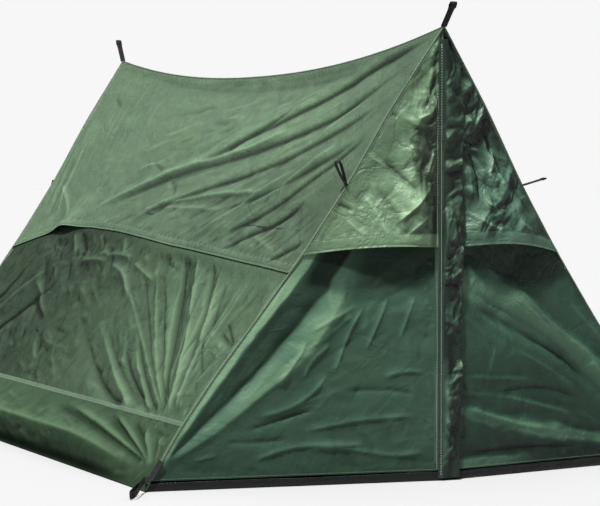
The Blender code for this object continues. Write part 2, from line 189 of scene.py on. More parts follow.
class Folds:
    """Creases and folds drawn on a flat map, in millimetres. A fold has a line, a height, and a width on each side."""

    def __init__(self, x0, y0, x1, y1, step=2.5, gain=1.0):
        self.items = []
        self.gain = gain
        self.origin = (x0 - 2 * step, y0 - 2 * step)
        self.step = step
        self.shape = (int((x1 - x0) / step) + 6, int((y1 - y0) / step) + 6)
        self.map = None

    def add(self, amp, w_left, w_right, pts, start=1.0, ends=(0.2, 0.2), power=1.0, rounds=2):
        p = np.array(pts, float)
        for _ in range(rounds if len(p) > 2 else 0):        # round the line's corners
            q = [p[0]]
            for a, b in zip(p[:-1], p[1:]):
                q += [a * 0.75 + b * 0.25, a * 0.25 + b * 0.75]
            p = np.array(q + [p[-1]])
        self.items.append((p, amp, w_left, w_right, start, ends, power))

    def scatter(self, seed, n, box, aim, length, width, amp, bend=0.12, jitter=0.18, keep=None):
        """Small wrinkles that run the way aim(x, y) says."""
        rng = np.random.RandomState(seed)
        made = 0
        for _ in range(n * 6):
            if made >= n:
                break
            x, y = rng.uniform(box[0], box[2]), rng.uniform(box[1], box[3])
            chance = rng.rand()
            angle = aim(x, y) + rng.normal() * jitter
            size, w, a = rng.uniform(*length), rng.uniform(*width), rng.uniform(*amp)
            sign, lean, b = rng.rand() < 0.5, rng.uniform(0.6, 1.6), rng.normal() * bend
            if keep is not None and chance > keep(x, y):
                continue
            made += 1
            pts = []
            for s in (-0.5, -0.17, 0.17, 0.5):
                turn = angle + b * s * 2
                pts.append((x + math.cos(turn) * size * s, y + math.sin(turn) * size * s))
            self.add(a if sign else -a, w * lean, w / lean, pts, ends=(0.45, 0.45), rounds=1)

    def bake(self):
        gx = self.origin[0] + np.arange(self.shape[0]) * self.step
        gy = self.origin[1] + np.arange(self.shape[1]) * self.step
        total = np.zeros(self.shape)

        def window(lo, hi):
            i0 = max(0, int((lo[0] - self.origin[0]) / self.step))
            j0 = max(0, int((lo[1] - self.origin[1]) / self.step))
            i1 = min(self.shape[0], int((hi[0] - self.origin[0]) / self.step) + 2)
            j1 = min(self.shape[1], int((hi[1] - self.origin[1]) / self.step) + 2)
            return i0, j0, i1, j1

        for p, amp, wl, wr, start, ends, power in self.items:
            pad = (5.2 if power < 1.2 else 4.0) * max(wl, wr)
            I0, J0, I1, J1 = window(p.min(0) - pad, p.max(0) + pad)
            if I1 <= I0 or J1 <= J0:
                continue
            best = np.full((I1 - I0, J1 - J0), 1e12)
            sgn = np.ones(best.shape)
            along = np.zeros(best.shape)
            d = np.diff(p, axis=0)
            seg = np.maximum(np.hypot(d[:, 0], d[:, 1]), 1e-6)
            run = np.concatenate([[0], np.cumsum(seg)])
            for i in range(len(d)):
                i0, j0, i1, j1 = window(np.minimum(p[i], p[i + 1]) - pad, np.maximum(p[i], p[i + 1]) + pad)
                if i1 <= i0 or j1 <= j0:
                    continue
                px = gx[i0:i1, None] - p[i, 0]
                py = gy[None, j0:j1] - p[i, 1]
                s = np.clip((px * d[i, 0] + py * d[i, 1]) / seg[i] ** 2, 0, 1)
                qx, qy = px - s * d[i, 0], py - s * d[i, 1]
                r2 = qx * qx + qy * qy
                w = (slice(i0 - I0, i1 - I0), slice(j0 - J0, j1 - J0))
                k = r2 < best[w]
                best[w][k] = r2[k]
                sgn[w][k] = np.sign(d[i, 0] * qy - d[i, 1] * qx)[k]
                along[w][k] = ((run[i] + s * seg[i]) / run[-1])[k]
            m = best < pad * pad
            r, sg, al = np.sqrt(best[m]), sgn[m], along[m]
            w = np.where(sg > 0, wl, wr)
            grow = start + (1 - start) * al
            fade = smooth(0, ends[0], al) * smooth(0, ends[1], 1 - al)
            total[I0:I1, J0:J1][m] += amp * grow * fade * np.exp(-(r / (w * grow)) ** power)
        self.map = total * self.gain / 1000

    def __call__(self, x, y):
        """Height in metres at x, y in metres, read from the map with cubic weights."""
        if self.map is None:
            self.bake()
        x, y = np.broadcast_arrays(np.asarray(x, float), np.asarray(y, float))
        fx = np.clip((x * 1000 - self.origin[0]) / self.step, 1.001, self.shape[0] - 3.001)
        fy = np.clip((y * 1000 - self.origin[1]) / self.step, 1.001, self.shape[1] - 3.001)
        i, j = fx.astype(int), fy.astype(int)
        u, v = fx - i, fy - j

        def weights(t):
            return (-.5 * t ** 3 + t * t - .5 * t, 1.5 * t ** 3 - 2.5 * t * t + 1, -1.5 * t ** 3 + 2 * t * t + .5 * t, .5 * t ** 3 - .5 * t * t)

        wu, wv = weights(u), weights(v)
        out = np.zeros(x.shape)
        for a in range(4):
            row = 0
            for b in range(4):
                row = row + wv[b] * self.map[i + a - 1, j + b - 1]
            out += wu[a] * row
        return out


def toward(fx, fy):
    return lambda x, y: math.atan2(fy - y, fx - x)


# ---- the roof: x is the distance back from the front seam, y the distance up the slope
roof_left = Folds(0, 560, 2130, 1290, gain=1.38)
roof_left.add(-10, 11, 34, [(20, 1258), (217, 1256), (357, 1218), (493, 1165), (660, 1104), (797, 1060), (946, 992), (1110, 930)])
roof_left.add(-9, 11, 34, [(40, 1196), (141, 1176), (244, 1124), (363, 1067), (522, 1026), (757, 974), (1003, 936), (1245, 878), (1406, 812), (1560, 735)])
roof_left.add(-7, 9, 30, [(20, 1100), (128, 1070), (252, 1022), (454, 950), (700, 884), (960, 826), (1180, 756), (1290, 690)])
roof_left.add(-5, 7, 22, [(60, 990), (176, 944), (267, 905), (354, 861), (500, 800), (700, 755)])
roof_left.add(-6, 8, 24, [(20, 986), (126, 940), (237, 870), (305, 818), (420, 745), (560, 685)])
roof_left.add(5, 5, 34, [(1653, 700), (1536, 768), (1406, 830), (1245, 895), (1003, 954), (757, 992), (609, 1042), (528, 1077)])
roof_left.add(-5, 9, 5, [(960, 985), (797, 1064), (660, 1140)])
roof_left.add(6, 6, 30, [(1261, 697), (1153, 777), (966, 806), (697, 825), (429, 828)])
roof_left.add(3.5, 7, 12, [(1151, 768), (900, 772), (620, 765)])
roof_left.add(6, 16, 12, [(521, 780), (432, 812), (327, 890), (200, 980)])
roof_left.add(8, 14, 18, [(757, 650), (621, 723), (536, 800), (357, 917)])
roof_left.add(-8, 12, 14, [(524, 628), (391, 694), (278, 733), (180, 800)])
roof_left.add(-6, 8, 10, [(185, 604), (114, 646), (45, 680)])
roof_left.add(3, 6, 8, [(380, 695), (175, 649)])
roof_left.add(-3, 5, 7, [(1211, 883), (1125, 844), (1064, 804)])
roof_left.add(-2.5, 5, 6, [(1395, 937), (1276, 901)])
roof_left.add(-3, 6, 6, [(2018, 1158), (1933, 1129)])
roof_left.add(4, 8, 10, [(1755, 695), (1938, 786), (2047, 831)])
roof_left.add(-4, 7, 7, [(2050, 700), (2095, 861), (2105, 976), (2108, 1085)])
roof_left.add(3.5, 8, 9, [(1903, 700), (1971, 784), (2010, 899), (2030, 1000)])
roof_left.add(-3.5, 9, 8, [(1960, 690), (2030, 800), (2060, 930)])
roof_left.add(-4, 40, 60, [(250, 1240), (700, 1225), (1300, 1235), (1900, 1262)])
roof_left.scatter(3, 130, (60, 620, 1500, 1180), toward(-350, 1400), (90, 330), (5, 13), (0.7, 2.2), jitter=0.10)
roof_left.scatter(4, 60, (60, 600, 1300, 800), toward(-200, 1250), (50, 150), (4, 9), (0.8, 2.4), jitter=0.35)
roof_left.scatter(5, 70, (1650, 640, 2110, 1240), lambda x, y: 1.35, (60, 200), (4, 8), (0.4, 1.2), jitter=0.12)
roof_left.scatter(8, 40, (200, 640, 1500, 1000), lambda x, y: 6.283 * math.sin(x * .013 + y * .027), (18, 70), (2.6, 3.6), (.9, 1.8), bend=.5, jitter=1.2)
roof_left.scatter(6, 50, (60, 600, 2080, 680), lambda x, y: 2.2, (25, 60), (4, 8), (0.8, 2.0), jitter=0.5)

roof_right = Folds(0, 560, 2130, 1290, gain=1.38)
roof_right.add(-9, 26, 22, [(20, 1250), (260, 1226), (480, 1150), (760, 1056), (1060, 960), (1300, 880)])
roof_right.add(-8, 20, 26, [(40, 1180), (200, 1140), (420, 1040), (700, 950), (1050, 850), (1350, 740)])
roof_right.add(6, 8, 30, [(1500, 700), (1300, 800), (1000, 900), (650, 1010), (400, 1100)])
roof_right.add(7, 14, 18, [(900, 640), (700, 730), (480, 850), (300, 960)])
roof_right.add(-7, 12, 16, [(620, 620), (450, 690), (250, 800)])
roof_right.add(5, 8, 20, [(1750, 690), (1500, 820), (1250, 900)])
roof_right.add(-4, 8, 8, [(2050, 700), (2090, 860), (2105, 1060)])
roof_right.scatter(13, 130, (60, 620, 1500, 1180), toward(-350, 1400), (90, 330), (5, 13), (0.7, 2.2), jitter=0.10)
roof_right.scatter(14, 60, (60, 600, 1300, 800), toward(-200, 1250), (50, 150), (4, 9), (0.8, 2.4), jitter=0.35)
roof_right.scatter(15, 70, (1650, 640, 2110, 1240), lambda x, y: 1.35, (60, 200), (4, 8), (0.4, 1.2), jitter=0.12)
roof_right.scatter(16, 50, (60, 600, 2080, 680), lambda x, y: 2.2, (25, 60), (4, 8), (0.8, 2.0), jitter=0.5)


# ---- the wall and the tub below it share one map
def wall_folds(seed, photo_side):
    f = Folds(0, 0, 2130, 700, gain=1.42)
    f.add(-9, 12, 36, [(760, 650), (561, 497), (393, 368), (279, 269), (150, 176)], ends=(0.25, 0.12))
    f.add(8, 11, 32, [(650, 640), (423, 477), (230, 328), (120, 185)], ends=(0.2, 0.12))
    f.add(-6, 7, 24, [(540, 640), (370, 509), (300, 440), (205, 340), (125, 210)], ends=(0.2, 0.1))
    f.add(7, 7, 24, [(440, 600), (300, 480), (170, 330), (95, 200)], ends=(0.3, 0.1))
    f.add(-5, 10, 12, [(330, 560), (230, 430), (120, 270)])
    for a, w, line in ((-7, 24, [(1150, 400), (879, 301), (645, 218), (430, 180)]), (6, 22, [(1050, 420), (800, 330), (560, 240), (380, 185)]),
                       (-7, 22, [(1000, 440), (852, 362), (613, 277), (330, 190)]), (-7, 20, [(860, 430), (700, 344), (480, 250), (230, 180)]),
                       (-7, 18, [(760, 440), (553, 328), (345, 236), (180, 178)]), (5, 16, [(700, 400), (500, 290), (260, 190)])):
        f.add(a, w * .55, w * 1.1, line, ends=(0.60, 0.1))
    rng = np.random.RandomState(seed + 40)
    for i, top in enumerate((205, 262, 318, 372, 432, 498, 570, 640, 725, 815, 915, 1030, 1160)):
        lean = rng.uniform(-18, 18)
        mid = (150 + (top - 150) * .52 + lean, 175 + (620 - 175) * .50)
        f.add((-1) ** i * rng.uniform(3.4, 6.2), rng.uniform(4.0, 7.0), rng.uniform(15, 25), [(147, 178), mid, (top, rng.uniform(560, 625))], start=.22, ends=(.03, .42))
    for i, top in enumerate((95, 150, 215, 300, 400, 520, 680, 880)):
        f.add((-1) ** i * rng.uniform(4.0, 6.5), rng.uniform(6, 10), rng.uniform(7, 12), [(24, 60), (top * .55, 60 + 62 * .9), (top, 160)], start=.25, ends=(.04, .42))
    f.scatter(seed + 9, 46, (300, 430, 1700, 650), lambda x, y: 6.283 * math.sin(x * .017 + y * .031), (18, 60), (2.6, 3.6), (1.0, 2.0), bend=.5, jitter=1.2)
    if photo_side:
        for a, wl, wr, line in ((5, 8, 14, [(1652, 658), (1514, 584)]), (-5, 8, 10, [(1595, 660), (1436, 587)]), (5, 9, 12, [(1440, 665), (1299, 600)]),
                                (-5, 9, 9, [(1399, 653), (1300, 601)]), (6, 9, 12, [(1230, 660), (1100, 592)]), (5, 7, 12, [(1445, 564), (1297, 574), (1222, 567)]),
                                (5, 7, 12, [(1329, 591), (1175, 594), (1046, 591)]), (7, 9, 14, [(1173, 566), (1062, 547), (983, 527), (880, 470)]),
                                (6, 8, 12, [(1026, 579), (887, 549), (790, 530)]), (-5, 9, 10, [(1642, 433), (1514, 396), (1408, 374)]),
                                (5, 9, 12, [(1714, 489), (1615, 461), (1525, 415), (1395, 372)]), (-5, 8, 9, [(566, 428), (405, 345), (352, 273)]),
                                (4, 8, 9, [(746, 370), (697, 350), (610, 289)]), (-6, 8, 7, [(150, 420), (20, 386)]), (-4, 6, 6, [(150, 445), (25, 392)]),
                                (-3, 6, 8, [(71, 299), (208, 388)]), (-3, 6, 6, [(139, 150), (76, 142), (32, 147)]), (3, 6, 6, [(81, 125), (29, 119)]),
                                (-3, 6, 6, [(43, 235), (16, 194)])):
            f.add(a, wl, wr, line)
    # the tub: bright folds that gather at the front corner
    f.add(8, 14, 18, [(825, 160), (517, 130), (209, 89), (27, 60)], start=1.0, ends=(0.25, 0.04))
    f.add(-7, 12, 12, [(900, 150), (710, 130), (434, 104), (104, 66)], ends=(0.25, 0.05))
    f.add(6, 10, 11, [(435, 165), (258, 126), (53, 68)], ends=(0.2, 0.06))
    f.add(-6, 8, 9, [(480, 166), (301, 119), (57, 62)], ends=(0.2, 0.06))
    f.add(-6, 8, 8, [(300, 160), (180, 112), (50, 66)], ends=(0.2, 0.06))
    f.add(5, 7, 7, [(200, 150), (120, 105), (40, 64)], ends=(0.2, 0.06))
    # the rear corner gathers the same way
    f.add(9, 14, 14, [(1500, 150), (1800, 110), (2085, 62)], ends=(0.3, 0.06))
    f.add(-8, 12, 12, [(1560, 162), (1850, 104), (2090, 60)], ends=(0.3, 0.06))
    f.add(-8, 20, 22, [(1500, 500), (1750, 330), (1980, 185)], ends=(0.3, 0.12))
    f.add(7, 18, 20, [(1650, 560), (1850, 380), (2030, 200)], ends=(0.3, 0.12))
    f.add(-6, 14, 14, [(1850, 560), (1960, 400), (2065, 210)], ends=(0.3, 0.12))
    f.scatter(seed, 110, (60, 190, 1300, 640), toward(150, 150), (70, 240), (6, 14), (0.8, 2.6), jitter=0.12)
    f.scatter(seed + 1, 60, (1150, 190, 2080, 640), lambda x, y: 0.5 if x < 1750 else -0.75, (60, 200), (6, 13), (0.8, 2.4), jitter=0.3)
    f.scatter(seed + 2, 56, (500, 560, 1750, 660), lambda x, y: 0.52, (40, 110), (2.8, 5), (1.0, 2.2), jitter=0.35)
    f.scatter(seed + 3, 40, (60, 15, 1000, 150), toward(20, 62), (60, 220), (5, 10), (0.8, 2.4), jitter=0.08)
    f.scatter(seed + 4, 50, (900, 15, 2080, 150), lambda x, y: 0.05, (60, 220), (5, 10), (0.6, 2.0), jitter=0.12)
    f.scatter(seed + 5, 26, (15, 150, 240, 420), lambda x, y: 0.6, (20, 60), (4, 7), (1.0, 2.4), jitter=0.6)
    return f


wall_map = {-1: wall_folds(31, True), 1: wall_folds(61, False)}
roof_map = {-1: roof_left, 1: roof_right}


# ---- the front: x is the distance from the zip, y the height
def crumple(f, seed, n, box, length, width, amp, keep=None):
    f.scatter(seed, n, box, lambda x, y: 6.283 * (0.5 + 0.5 * math.sin(x * 0.071 + y * 0.113 + seed)), length, width, amp, bend=0.5, jitter=1.4, keep=keep)


low_left = Folds(0, 0, 712, 600, gain=1.25)
low_left.add(12, 24, 26, [(672, 60), (646, 87), (578, 187), (489, 305), (405, 411), (345, 480), (318, 510)], start=0.25, ends=(0.05, 0.20), power=1.5)
low_left.add(-12, 26, 28, [(660, 66), (632, 96), (519, 194), (430, 280), (350, 371), (285, 445), (255, 490)], start=0.25, ends=(0.05, 0.20), power=1.5)
low_left.add(9, 22, 30, [(668, 60), (568, 113), (450, 207), (370, 264), (300, 340), (224, 476)], start=0.3, ends=(0.08, 0.15), power=1.4)
for a, wl, wr, line in ((3.2, 5, 12, [(400, 233), (335, 321), (335, 341)]), (3, 5, 12, [(340, 243), (320, 292), (270, 330)]), (3.4, 5, 13, [(267, 256), (244, 319), (219, 378), (189, 422)]),
                        (3.2, 5, 12, [(191, 308), (158, 382), (133, 440)]), (2.6, 4, 9, [(325, 355), (249, 398), (204, 422)]), (3.2, 6, 12, [(450, 163), (380, 176), (315, 213), (275, 266)]),
                        (-3.4, 6, 8, [(479, 132), (430, 143), (375, 161), (300, 178)]), (-3, 6, 9, [(529, 107), (430, 104), (370, 112)]), (3.4, 8, 14, [(350, 126), (275, 138), (199, 151), (55, 156)]),
                        (4, 7, 14, [(470, 57), (400, 83), (325, 96), (173, 90)]), (3.4, 9, 12, [(340, 81), (275, 89), (199, 77), (122, 61), (24, 71)]), (2.4, 5, 6, [(598, 66), (539, 78)]),
                        (2.6, 5, 9, [(110, 330), (85, 400), (70, 440)]), (2.4, 5, 9, [(150, 250), (90, 262), (40, 256)]), (-2.4, 5, 8, [(240, 215), (150, 222), (60, 205)])):
    low_left.add(a * 1.25, wl * .6, wr * .75, line)
low_left.scatter(101, 60, (60, 40, 620, 520), toward(690, 20), (60, 240), (4, 11), (0.5, 1.5), jitter=0.12)
low_left.scatter(102, 40, (20, 60, 300, 520), lambda x, y: 1.9, (30, 110), (3, 8), (0.5, 1.5), jitter=0.5)
low_left.scatter(103, 46, (22, 60, 46, 900), lambda x, y: 0.0, (14, 30), (2.2, 3.6), (0.9, 1.9), jitter=0.35)
low_left.scatter(104, 70, (40, 26, 690, 46), lambda x, y: 1.57, (8, 20), (3, 5), (0.6, 1.4), jitter=0.3)

low_right = Folds(0, 0, 712, 600, gain=1.25)
low_right.add(13, 14, 46, [(180, 470), (219, 442), (293, 377), (358, 332), (435, 289), (540, 190), (660, 62)], ends=(0.12, 0.05), power=1.4)
low_right.add(-12, 34, 12, [(80, 418), (114, 400), (187, 364), (272, 323), (359, 285), (452, 209), (600, 96), (672, 58)], ends=(0.12, 0.05), power=1.4)
low_right.add(-3, 5, 9, [(83, 447), (177, 398), (272, 353), (364, 296), (452, 209)])
low_right.add(5, 12, 18, [(369, 440), (407, 385), (483, 316), (600, 170), (668, 66)], ends=(0.2, 0.06))
low_right.add(4, 10, 12, [(63, 513), (98, 479), (72, 447)], ends=(0.3, 0.3))
for a, wl, wr, line in ((3, 6, 12, [(188, 190), (294, 163), (403, 137)]), (3, 6, 12, [(53, 243), (167, 235), (278, 225)]), (2.4, 4, 8, [(136, 243), (154, 308)]),
                        (4, 8, 16, [(322, 119), (425, 83), (485, 79)]), (4, 10, 16, [(53, 173), (115, 153), (220, 121), (330, 100)]), (-3, 6, 10, [(60, 60), (240, 66), (420, 56)]),
                        (2.6, 5, 10, [(220, 300), (300, 262), (420, 190)]), (-2.6, 6, 9, [(150, 200), (300, 210), (430, 170)])):
    low_right.add(a * 1.25, wl * .6, wr * .75, line)
low_right.scatter(111, 60, (60, 40, 620, 520), toward(690, 20), (60, 240), (4, 11), (0.5, 1.5), jitter=0.12)
low_right.scatter(112, 30, (40, 60, 300, 420), lambda x, y: 1.7, (30, 110), (3, 8), (0.5, 1.3), jitter=0.6)
low_right.scatter(114, 70, (40, 26, 690, 46), lambda x, y: 1.57, (8, 20), (3, 5), (0.6, 1.4), jitter=0.3)

hood_left = Folds(0, 530, 360, 1072, gain=1.25)
hood_left.add(9, 30, 46, [(66, 560), (67, 700), (58, 850), (34, 960)], ends=(0.02, 0.3), power=1.6)
for a, wl, wr, line in ((-7, 9, 10, [(150, 760), (122, 731), (86, 697), (60, 668)]), (3, 5, 6, [(189, 772), (162, 753), (135, 736)]), (-5, 6, 5, [(262, 658), (218, 636)]),
                        (7, 6, 16, [(135, 600), (68, 658), (26, 700)]), (4, 4, 7, [(103, 580), (40, 630)]), (5, 8, 7, [(70, 850), (24, 872)]), (5, 7, 7, [(84, 795), (70, 755)]),
                        (5, 6, 8, [(24, 780), (44, 712)]), (-5, 8, 9, [(36, 1030), (30, 866)]), (3, 6, 8, [(240, 620), (190, 570)]), (-4, 8, 9, [(170, 700), (130, 640), (110, 580)]),
                        (3, 6, 8, [(205, 690), (160, 620), (140, 560)]), (-3, 5, 6, [(110, 890), (92, 876)]), (-3, 5, 6, [(128, 866), (112, 856)]), (-3, 5, 6, [(168, 820), (152, 812)])):
    hood_left.add(a, wl, wr, line, ends=(0.3, 0.3))
hood_left.scatter(122, 40, (60, 560, 300, 900), lambda x, y: 2.2, (30, 110), (4, 10), (0.6, 1.8), jitter=0.3)
hood_left.scatter(124, 60, (22, 560, 44, 910), lambda x, y: 0.0, (12, 26), (2.2, 3.4), (0.7, 1.6), jitter=0.35)

hood_right = Folds(0, 530, 360, 1072, gain=1.35)
for a, wl, wr, line in ((6, 8, 14, [(50, 905), (87, 826)]), (5, 6, 8, [(54, 945), (95, 900)]), (7, 10, 12, [(122, 708), (150, 785)]), (7, 7, 12, [(98, 668), (165, 606)]),
                        (-8, 12, 12, [(165, 636), (202, 706)]), (6, 8, 12, [(195, 612), (245, 575)]), (-7, 14, 12, [(75, 800), (100, 720), (90, 640)]), (6, 9, 14, [(120, 830), (150, 720), (220, 620)]),
                        (-6, 12, 14, [(180, 740), (220, 660), (270, 600)]), (5, 6, 10, [(60, 640), (110, 600), (170, 585)])):
    hood_right.add(a, wl, wr, line, ends=(0.3, 0.3))
hood_right.scatter(132, 40, (60, 560, 320, 900), lambda x, y: 2.0, (40, 130), (4, 9), (0.8, 2.2), jitter=0.6)

gusset = Folds(0, 820, 200, 1072)
gusset.scatter(141, 16, (4, 905, 90, 1060), lambda x, y: 1.6, (30, 80), (4, 8), (0.8, 2.0))
flap_map = Folds(-20, 0, 60, 1050, 1.25)
crumple(flap_map, 151, 40, (4, 20, 50, 1010), (18, 70), (3, 7), (0.8, 2.2))
flap_map.add(4, 8, 9, [(10, 560), (44, 600)])
flap_map.add(-4, 8, 8, [(8, 520), (46, 548)])
flap_map.add(4, 7, 8, [(12, 470), (45, 500)])

# ---- the rear: x is the distance from the middle, signed, y the height
rear_map = Folds(-712, 0, 712, 600)
for s in (-1, 1):
    rear_map.add(10, 24, 24, [(s * 672, 60), (s * 560, 210), (s * 420, 400), (s * 300, 540)], start=0.25, ends=(0.05, 0.1), power=1.5)
    rear_map.add(-10, 24, 24, [(s * 662, 66), (s * 500, 220), (s * 350, 390), (s * 220, 540)], start=0.25, ends=(0.05, 0.1), power=1.5)
    rear_map.add(5, 12, 24, [(s * 650, 60), (s * 430, 150), (s * 260, 230), (s * 80, 330)], start=0.4)
    rear_map.add(-5, 12, 20, [(s * 640, 60), (s * 400, 110), (s * 150, 160)], start=0.4)
rear_map.scatter(201, 90, (-600, 160, 600, 540), lambda x, y: math.atan2(y, x - math.copysign(690, x)), (60, 240), (5, 12), (0.6, 1.9), jitter=0.14)
rear_map.scatter(202, 40, (-620, 20, 620, 145), lambda x, y: 0.0, (60, 200), (5, 10), (0.6, 1.8), jitter=0.12)
rear_hood_map = Folds(-360, 530, 360, 1072)
crumple(rear_hood_map, 211, 40, (-120, 560, 120, 960), (40, 120), (5, 12), (1.0, 3.2))
rear_hood_map.scatter(212, 60, (-300, 560, 300, 900), lambda x, y: math.atan2(y - 1100, x), (50, 160), (5, 11), (0.7, 2.2), jitter=0.25)


# ---------------------------------------------------------------- surfaces
def ends_mask(x, length, w=0.012):
    return smooth(0, w, x) * smooth(0, w, length - x)


def hood_lift(t):
    e = smooth(0, .08, t) * (1 - smooth(.92, 1, t))
    return 0.0008 + e * 0.0014, e * 0.021 * np.exp(-((t - .815) / .040) ** 2)


def roof_disp(side, x, y, from_hem):
    calm = 1 - .75 * smooth(.9, 1.5, x) * smooth(.85, 1.05, y)
    d = roof_map[side](x, y) + 0.0010 * fbm(x / .09, y / .05, 3 + side) + 0.0035 * fbm(x / .42, y / .22, 9 + side, 2)
    d = d + crumpled(x, y, 4 + side, .070, .0028) * calm
    return d * ends_mask(x, LENGTH) * smooth(0, .03, SLOPE - y) * (0.35 + 0.65 * smooth(.004, .034, from_hem))


def roof_u(t, s):
    h = side_hem(t)
    return h + (1 - 0.0012 / HEIGHT - h) * s


def roof_surface(side, t, s, off=0.0):
    """s is 0 at the hem and 1 at the ridge; below 0 is not used."""
    t, s = np.broadcast_arrays(np.asarray(t, float), np.asarray(s, float))
    u = roof_u(t, s)
    x, y = t * LENGTH, u * SLOPE
    from_hem = (u - side_hem(t)) * SLOPE
    d = roof_disp(side, x, y, from_hem)
    d = d + 0.0010 * np.sin(x * 2 * math.pi / 0.031 + 2.2 * vnoise(x / .05, 0 * x)) * np.exp(-((from_hem - .022) / .006) ** 2) * ends_mask(x, LENGTH)
    d = d - 0.0012 * np.exp(-((from_hem - .0225) / .0016) ** 2) - 0.0010 * np.exp(-((from_hem - .0050) / .0016) ** 2)
    d = d + 0.0012 * (1 - smooth(.0235, .026, from_hem))
    flat, gap = hood_lift(t)
    lift = flat * (1 - smooth(0, .45, s)) + gap * (1 - smooth(0, .30, s))
    return side_pt(side, t, u, lift + d + off, np.clip(s, 0, 1) ** 1.15)


def tub_crest(x):
    """How far the tub's lower part stands out, and the height up the slope of the crease where it turns under."""
    y = 0.046 + 0.028 * smooth(0, .60, x) * (1 - 0.4 * smooth(1.5, 2.1, x))
    size = 0.044 * smooth(0.0, .60, x) * (1 - smooth(1.60, 2.10, x)) + 0.002 * vnoise(x / .2, 0 * x + 3)
    return y, size


def wall_disp(side, t, u):
    x, y = t * LENGTH, u * SLOPE
    d = wall_map[side](x, y) + 0.0010 * fbm(x / .07, y / .05, 5 + side) + 0.0030 * fbm(x / .35, y / .2, 7 + side, 2)
    d = d + crumpled(x, y, 14 + side, .060, .0032)
    hem = side_hem(t) * SLOPE
    top = smooth(-.045, -.002, y - hem)
    d = d * ends_mask(x, LENGTH) * (1 - top) + (roof_disp(side, x, np.maximum(y, hem), np.maximum(y - hem, 0)) + hood_lift(t)[0]) * top
    seam_y = SEAM_Z / HEIGHT * SLOPE
    near = np.exp(-((y - seam_y) / .010) ** 2)
    d = d * (1 - 0.55 * near)
    d = d + 0.0007 * near * np.sin(x * 2 * math.pi / .024 + 3 * vnoise(x / .06, 0 * x)) * ends_mask(x, LENGTH)
    crest, size = tub_crest(x)
    up = np.clip((seam_y - y) / np.maximum(seam_y - crest, 1e-4), 0, 1)
    dn = np.clip(y / np.maximum(crest, 1e-4), 0, 1)
    d = d + size * np.where(y > crest, up ** 1.25, dn ** 0.85) * (y < seam_y) * ends_mask(x, LENGTH, .05)
    return d * smooth(0.0, 0.030, y)


def wall_surface(side, t, u, off=0.0):
    t, u = np.broadcast_arrays(np.asarray(t, float), np.asarray(u, float))
    h = side_hem(t)
    s = np.clip((u - SEAM_Z / HEIGHT) / np.maximum(h + .012 - SEAM_Z / HEIGHT, 1e-4), 0, 1)
    return side_pt(side, t, u, -0.0026 * smooth(.80, .97, s) + wall_disp(side, t, u) + off)


def front_hem(q, side):
    q = np.clip(q, 0, 1)
    arch = 0.006 * np.sin(math.pi * q) - 0.014 * q ** 2
    if side > 0:
        arch = arch + 0.004 * np.sin(math.pi * q) - 0.004 * q
    return (0.515 + arch) * HEIGHT


REAR_HEM = .512


def rear_hem(q):
    return (REAR_HEM + .010 * (1 - q * q)) * HEIGHT


EDGE = {-1: 0.0120, 1: 0.0490}


def q_of(side, h, z):
    hw = half_width(z) - .0006
    e = EDGE[side]
    return np.clip((h - e) / np.maximum(hw - e, 1e-4), 0, 1)


def hood_bulge(side, q, s):
    if side < 0:
        across = np.where(q < .26, smooth(-.16, .26, q) * smooth(0, .10, q), 1 - smooth(.26, 1.0, q) ** 1.1)
    else:
        across = np.sin(math.pi * np.clip(q, 0, 1)) ** 0.8
    return 0.0012 + 0.040 * across * (1 - smooth(0, .72, s))


def hood_surface(side, h, z, off=0.0):
    h, z = np.broadcast_arrays(np.asarray(h, float), np.asarray(z, float))
    q = q_of(side, h, z)
    hem = front_hem(q, side)
    s = np.clip((z - hem) / (DOOR_TOP - hem), 0, 1)
    up = z - hem
    hw = half_width(z)
    m = smooth(0, .014, hw - h) * smooth(0, .012, np.abs(h - EDGE[side]) + (.004 if side < 0 else 0))
    f = hood_left if side < 0 else hood_right
    both = smooth(DOOR_TOP - .07, DOOR_TOP, z)
    near = 1 - smooth(.05, .13, h) if side < 0 else .35 + .65 * (1 - smooth(.08, .26, h))
    d = f(h, z) * (1 - both) + gusset(h, z) * both + crumpled(h, z, 2 if side < 0 else 5, .050, .016 if side < 0 else .021) * (.05 + .95 * near) + 0.0008 * fbm(h / .05, z / .05, 21 + side) + 0.002 * fbm(h / .2, z / .2, 25 + side, 2)
    d = d * m * (0.3 + 0.7 * smooth(.004, .042, up))
    d = d - 0.0013 * np.exp(-((up - .0295) / .0016) ** 2) - 0.0009 * np.exp(-((up - .005) / .0016) ** 2) + 0.0012 * (1 - smooth(.0305, .033, up))
    d = d + 0.0007 * np.sin(h * 2 * math.pi / .027 + 2 * vnoise(h / .04, z * 0)) * np.exp(-((up - .034) / .006) ** 2) * m
    return end_pt(side, h, z, "front", hood_bulge(side, q, s) + d + off)


def low_surface(side, h, z, off=0.0):
    h, z = np.broadcast_arrays(np.asarray(h, float), np.asarray(z, float))
    q = q_of(side, h, z)
    top = front_hem(q, side) + .012
    s = np.clip((z - .0235) / (top - .0235), 0, 1)
    hw = half_width(z)
    m = smooth(0, .012, hw - h) * smooth(-.004, .012, h - EDGE[side]) * smooth(-.004, .022, z - .0235)
    f = low_left if side < 0 else low_right
    d = f(h, z) + crumpled(h, z, 22 + side, .080, .0040) + 0.0007 * fbm(h / .06, z / .05, 31 + side) + 0.0022 * fbm(h / .25, z / .2, 35 + side, 2)
    return end_pt(side, h, z, "front", 0.0006 - 0.0034 * smooth(.6, 1, s) + d * m * (1 - .5 * smooth(.9, 1, s)) + off)


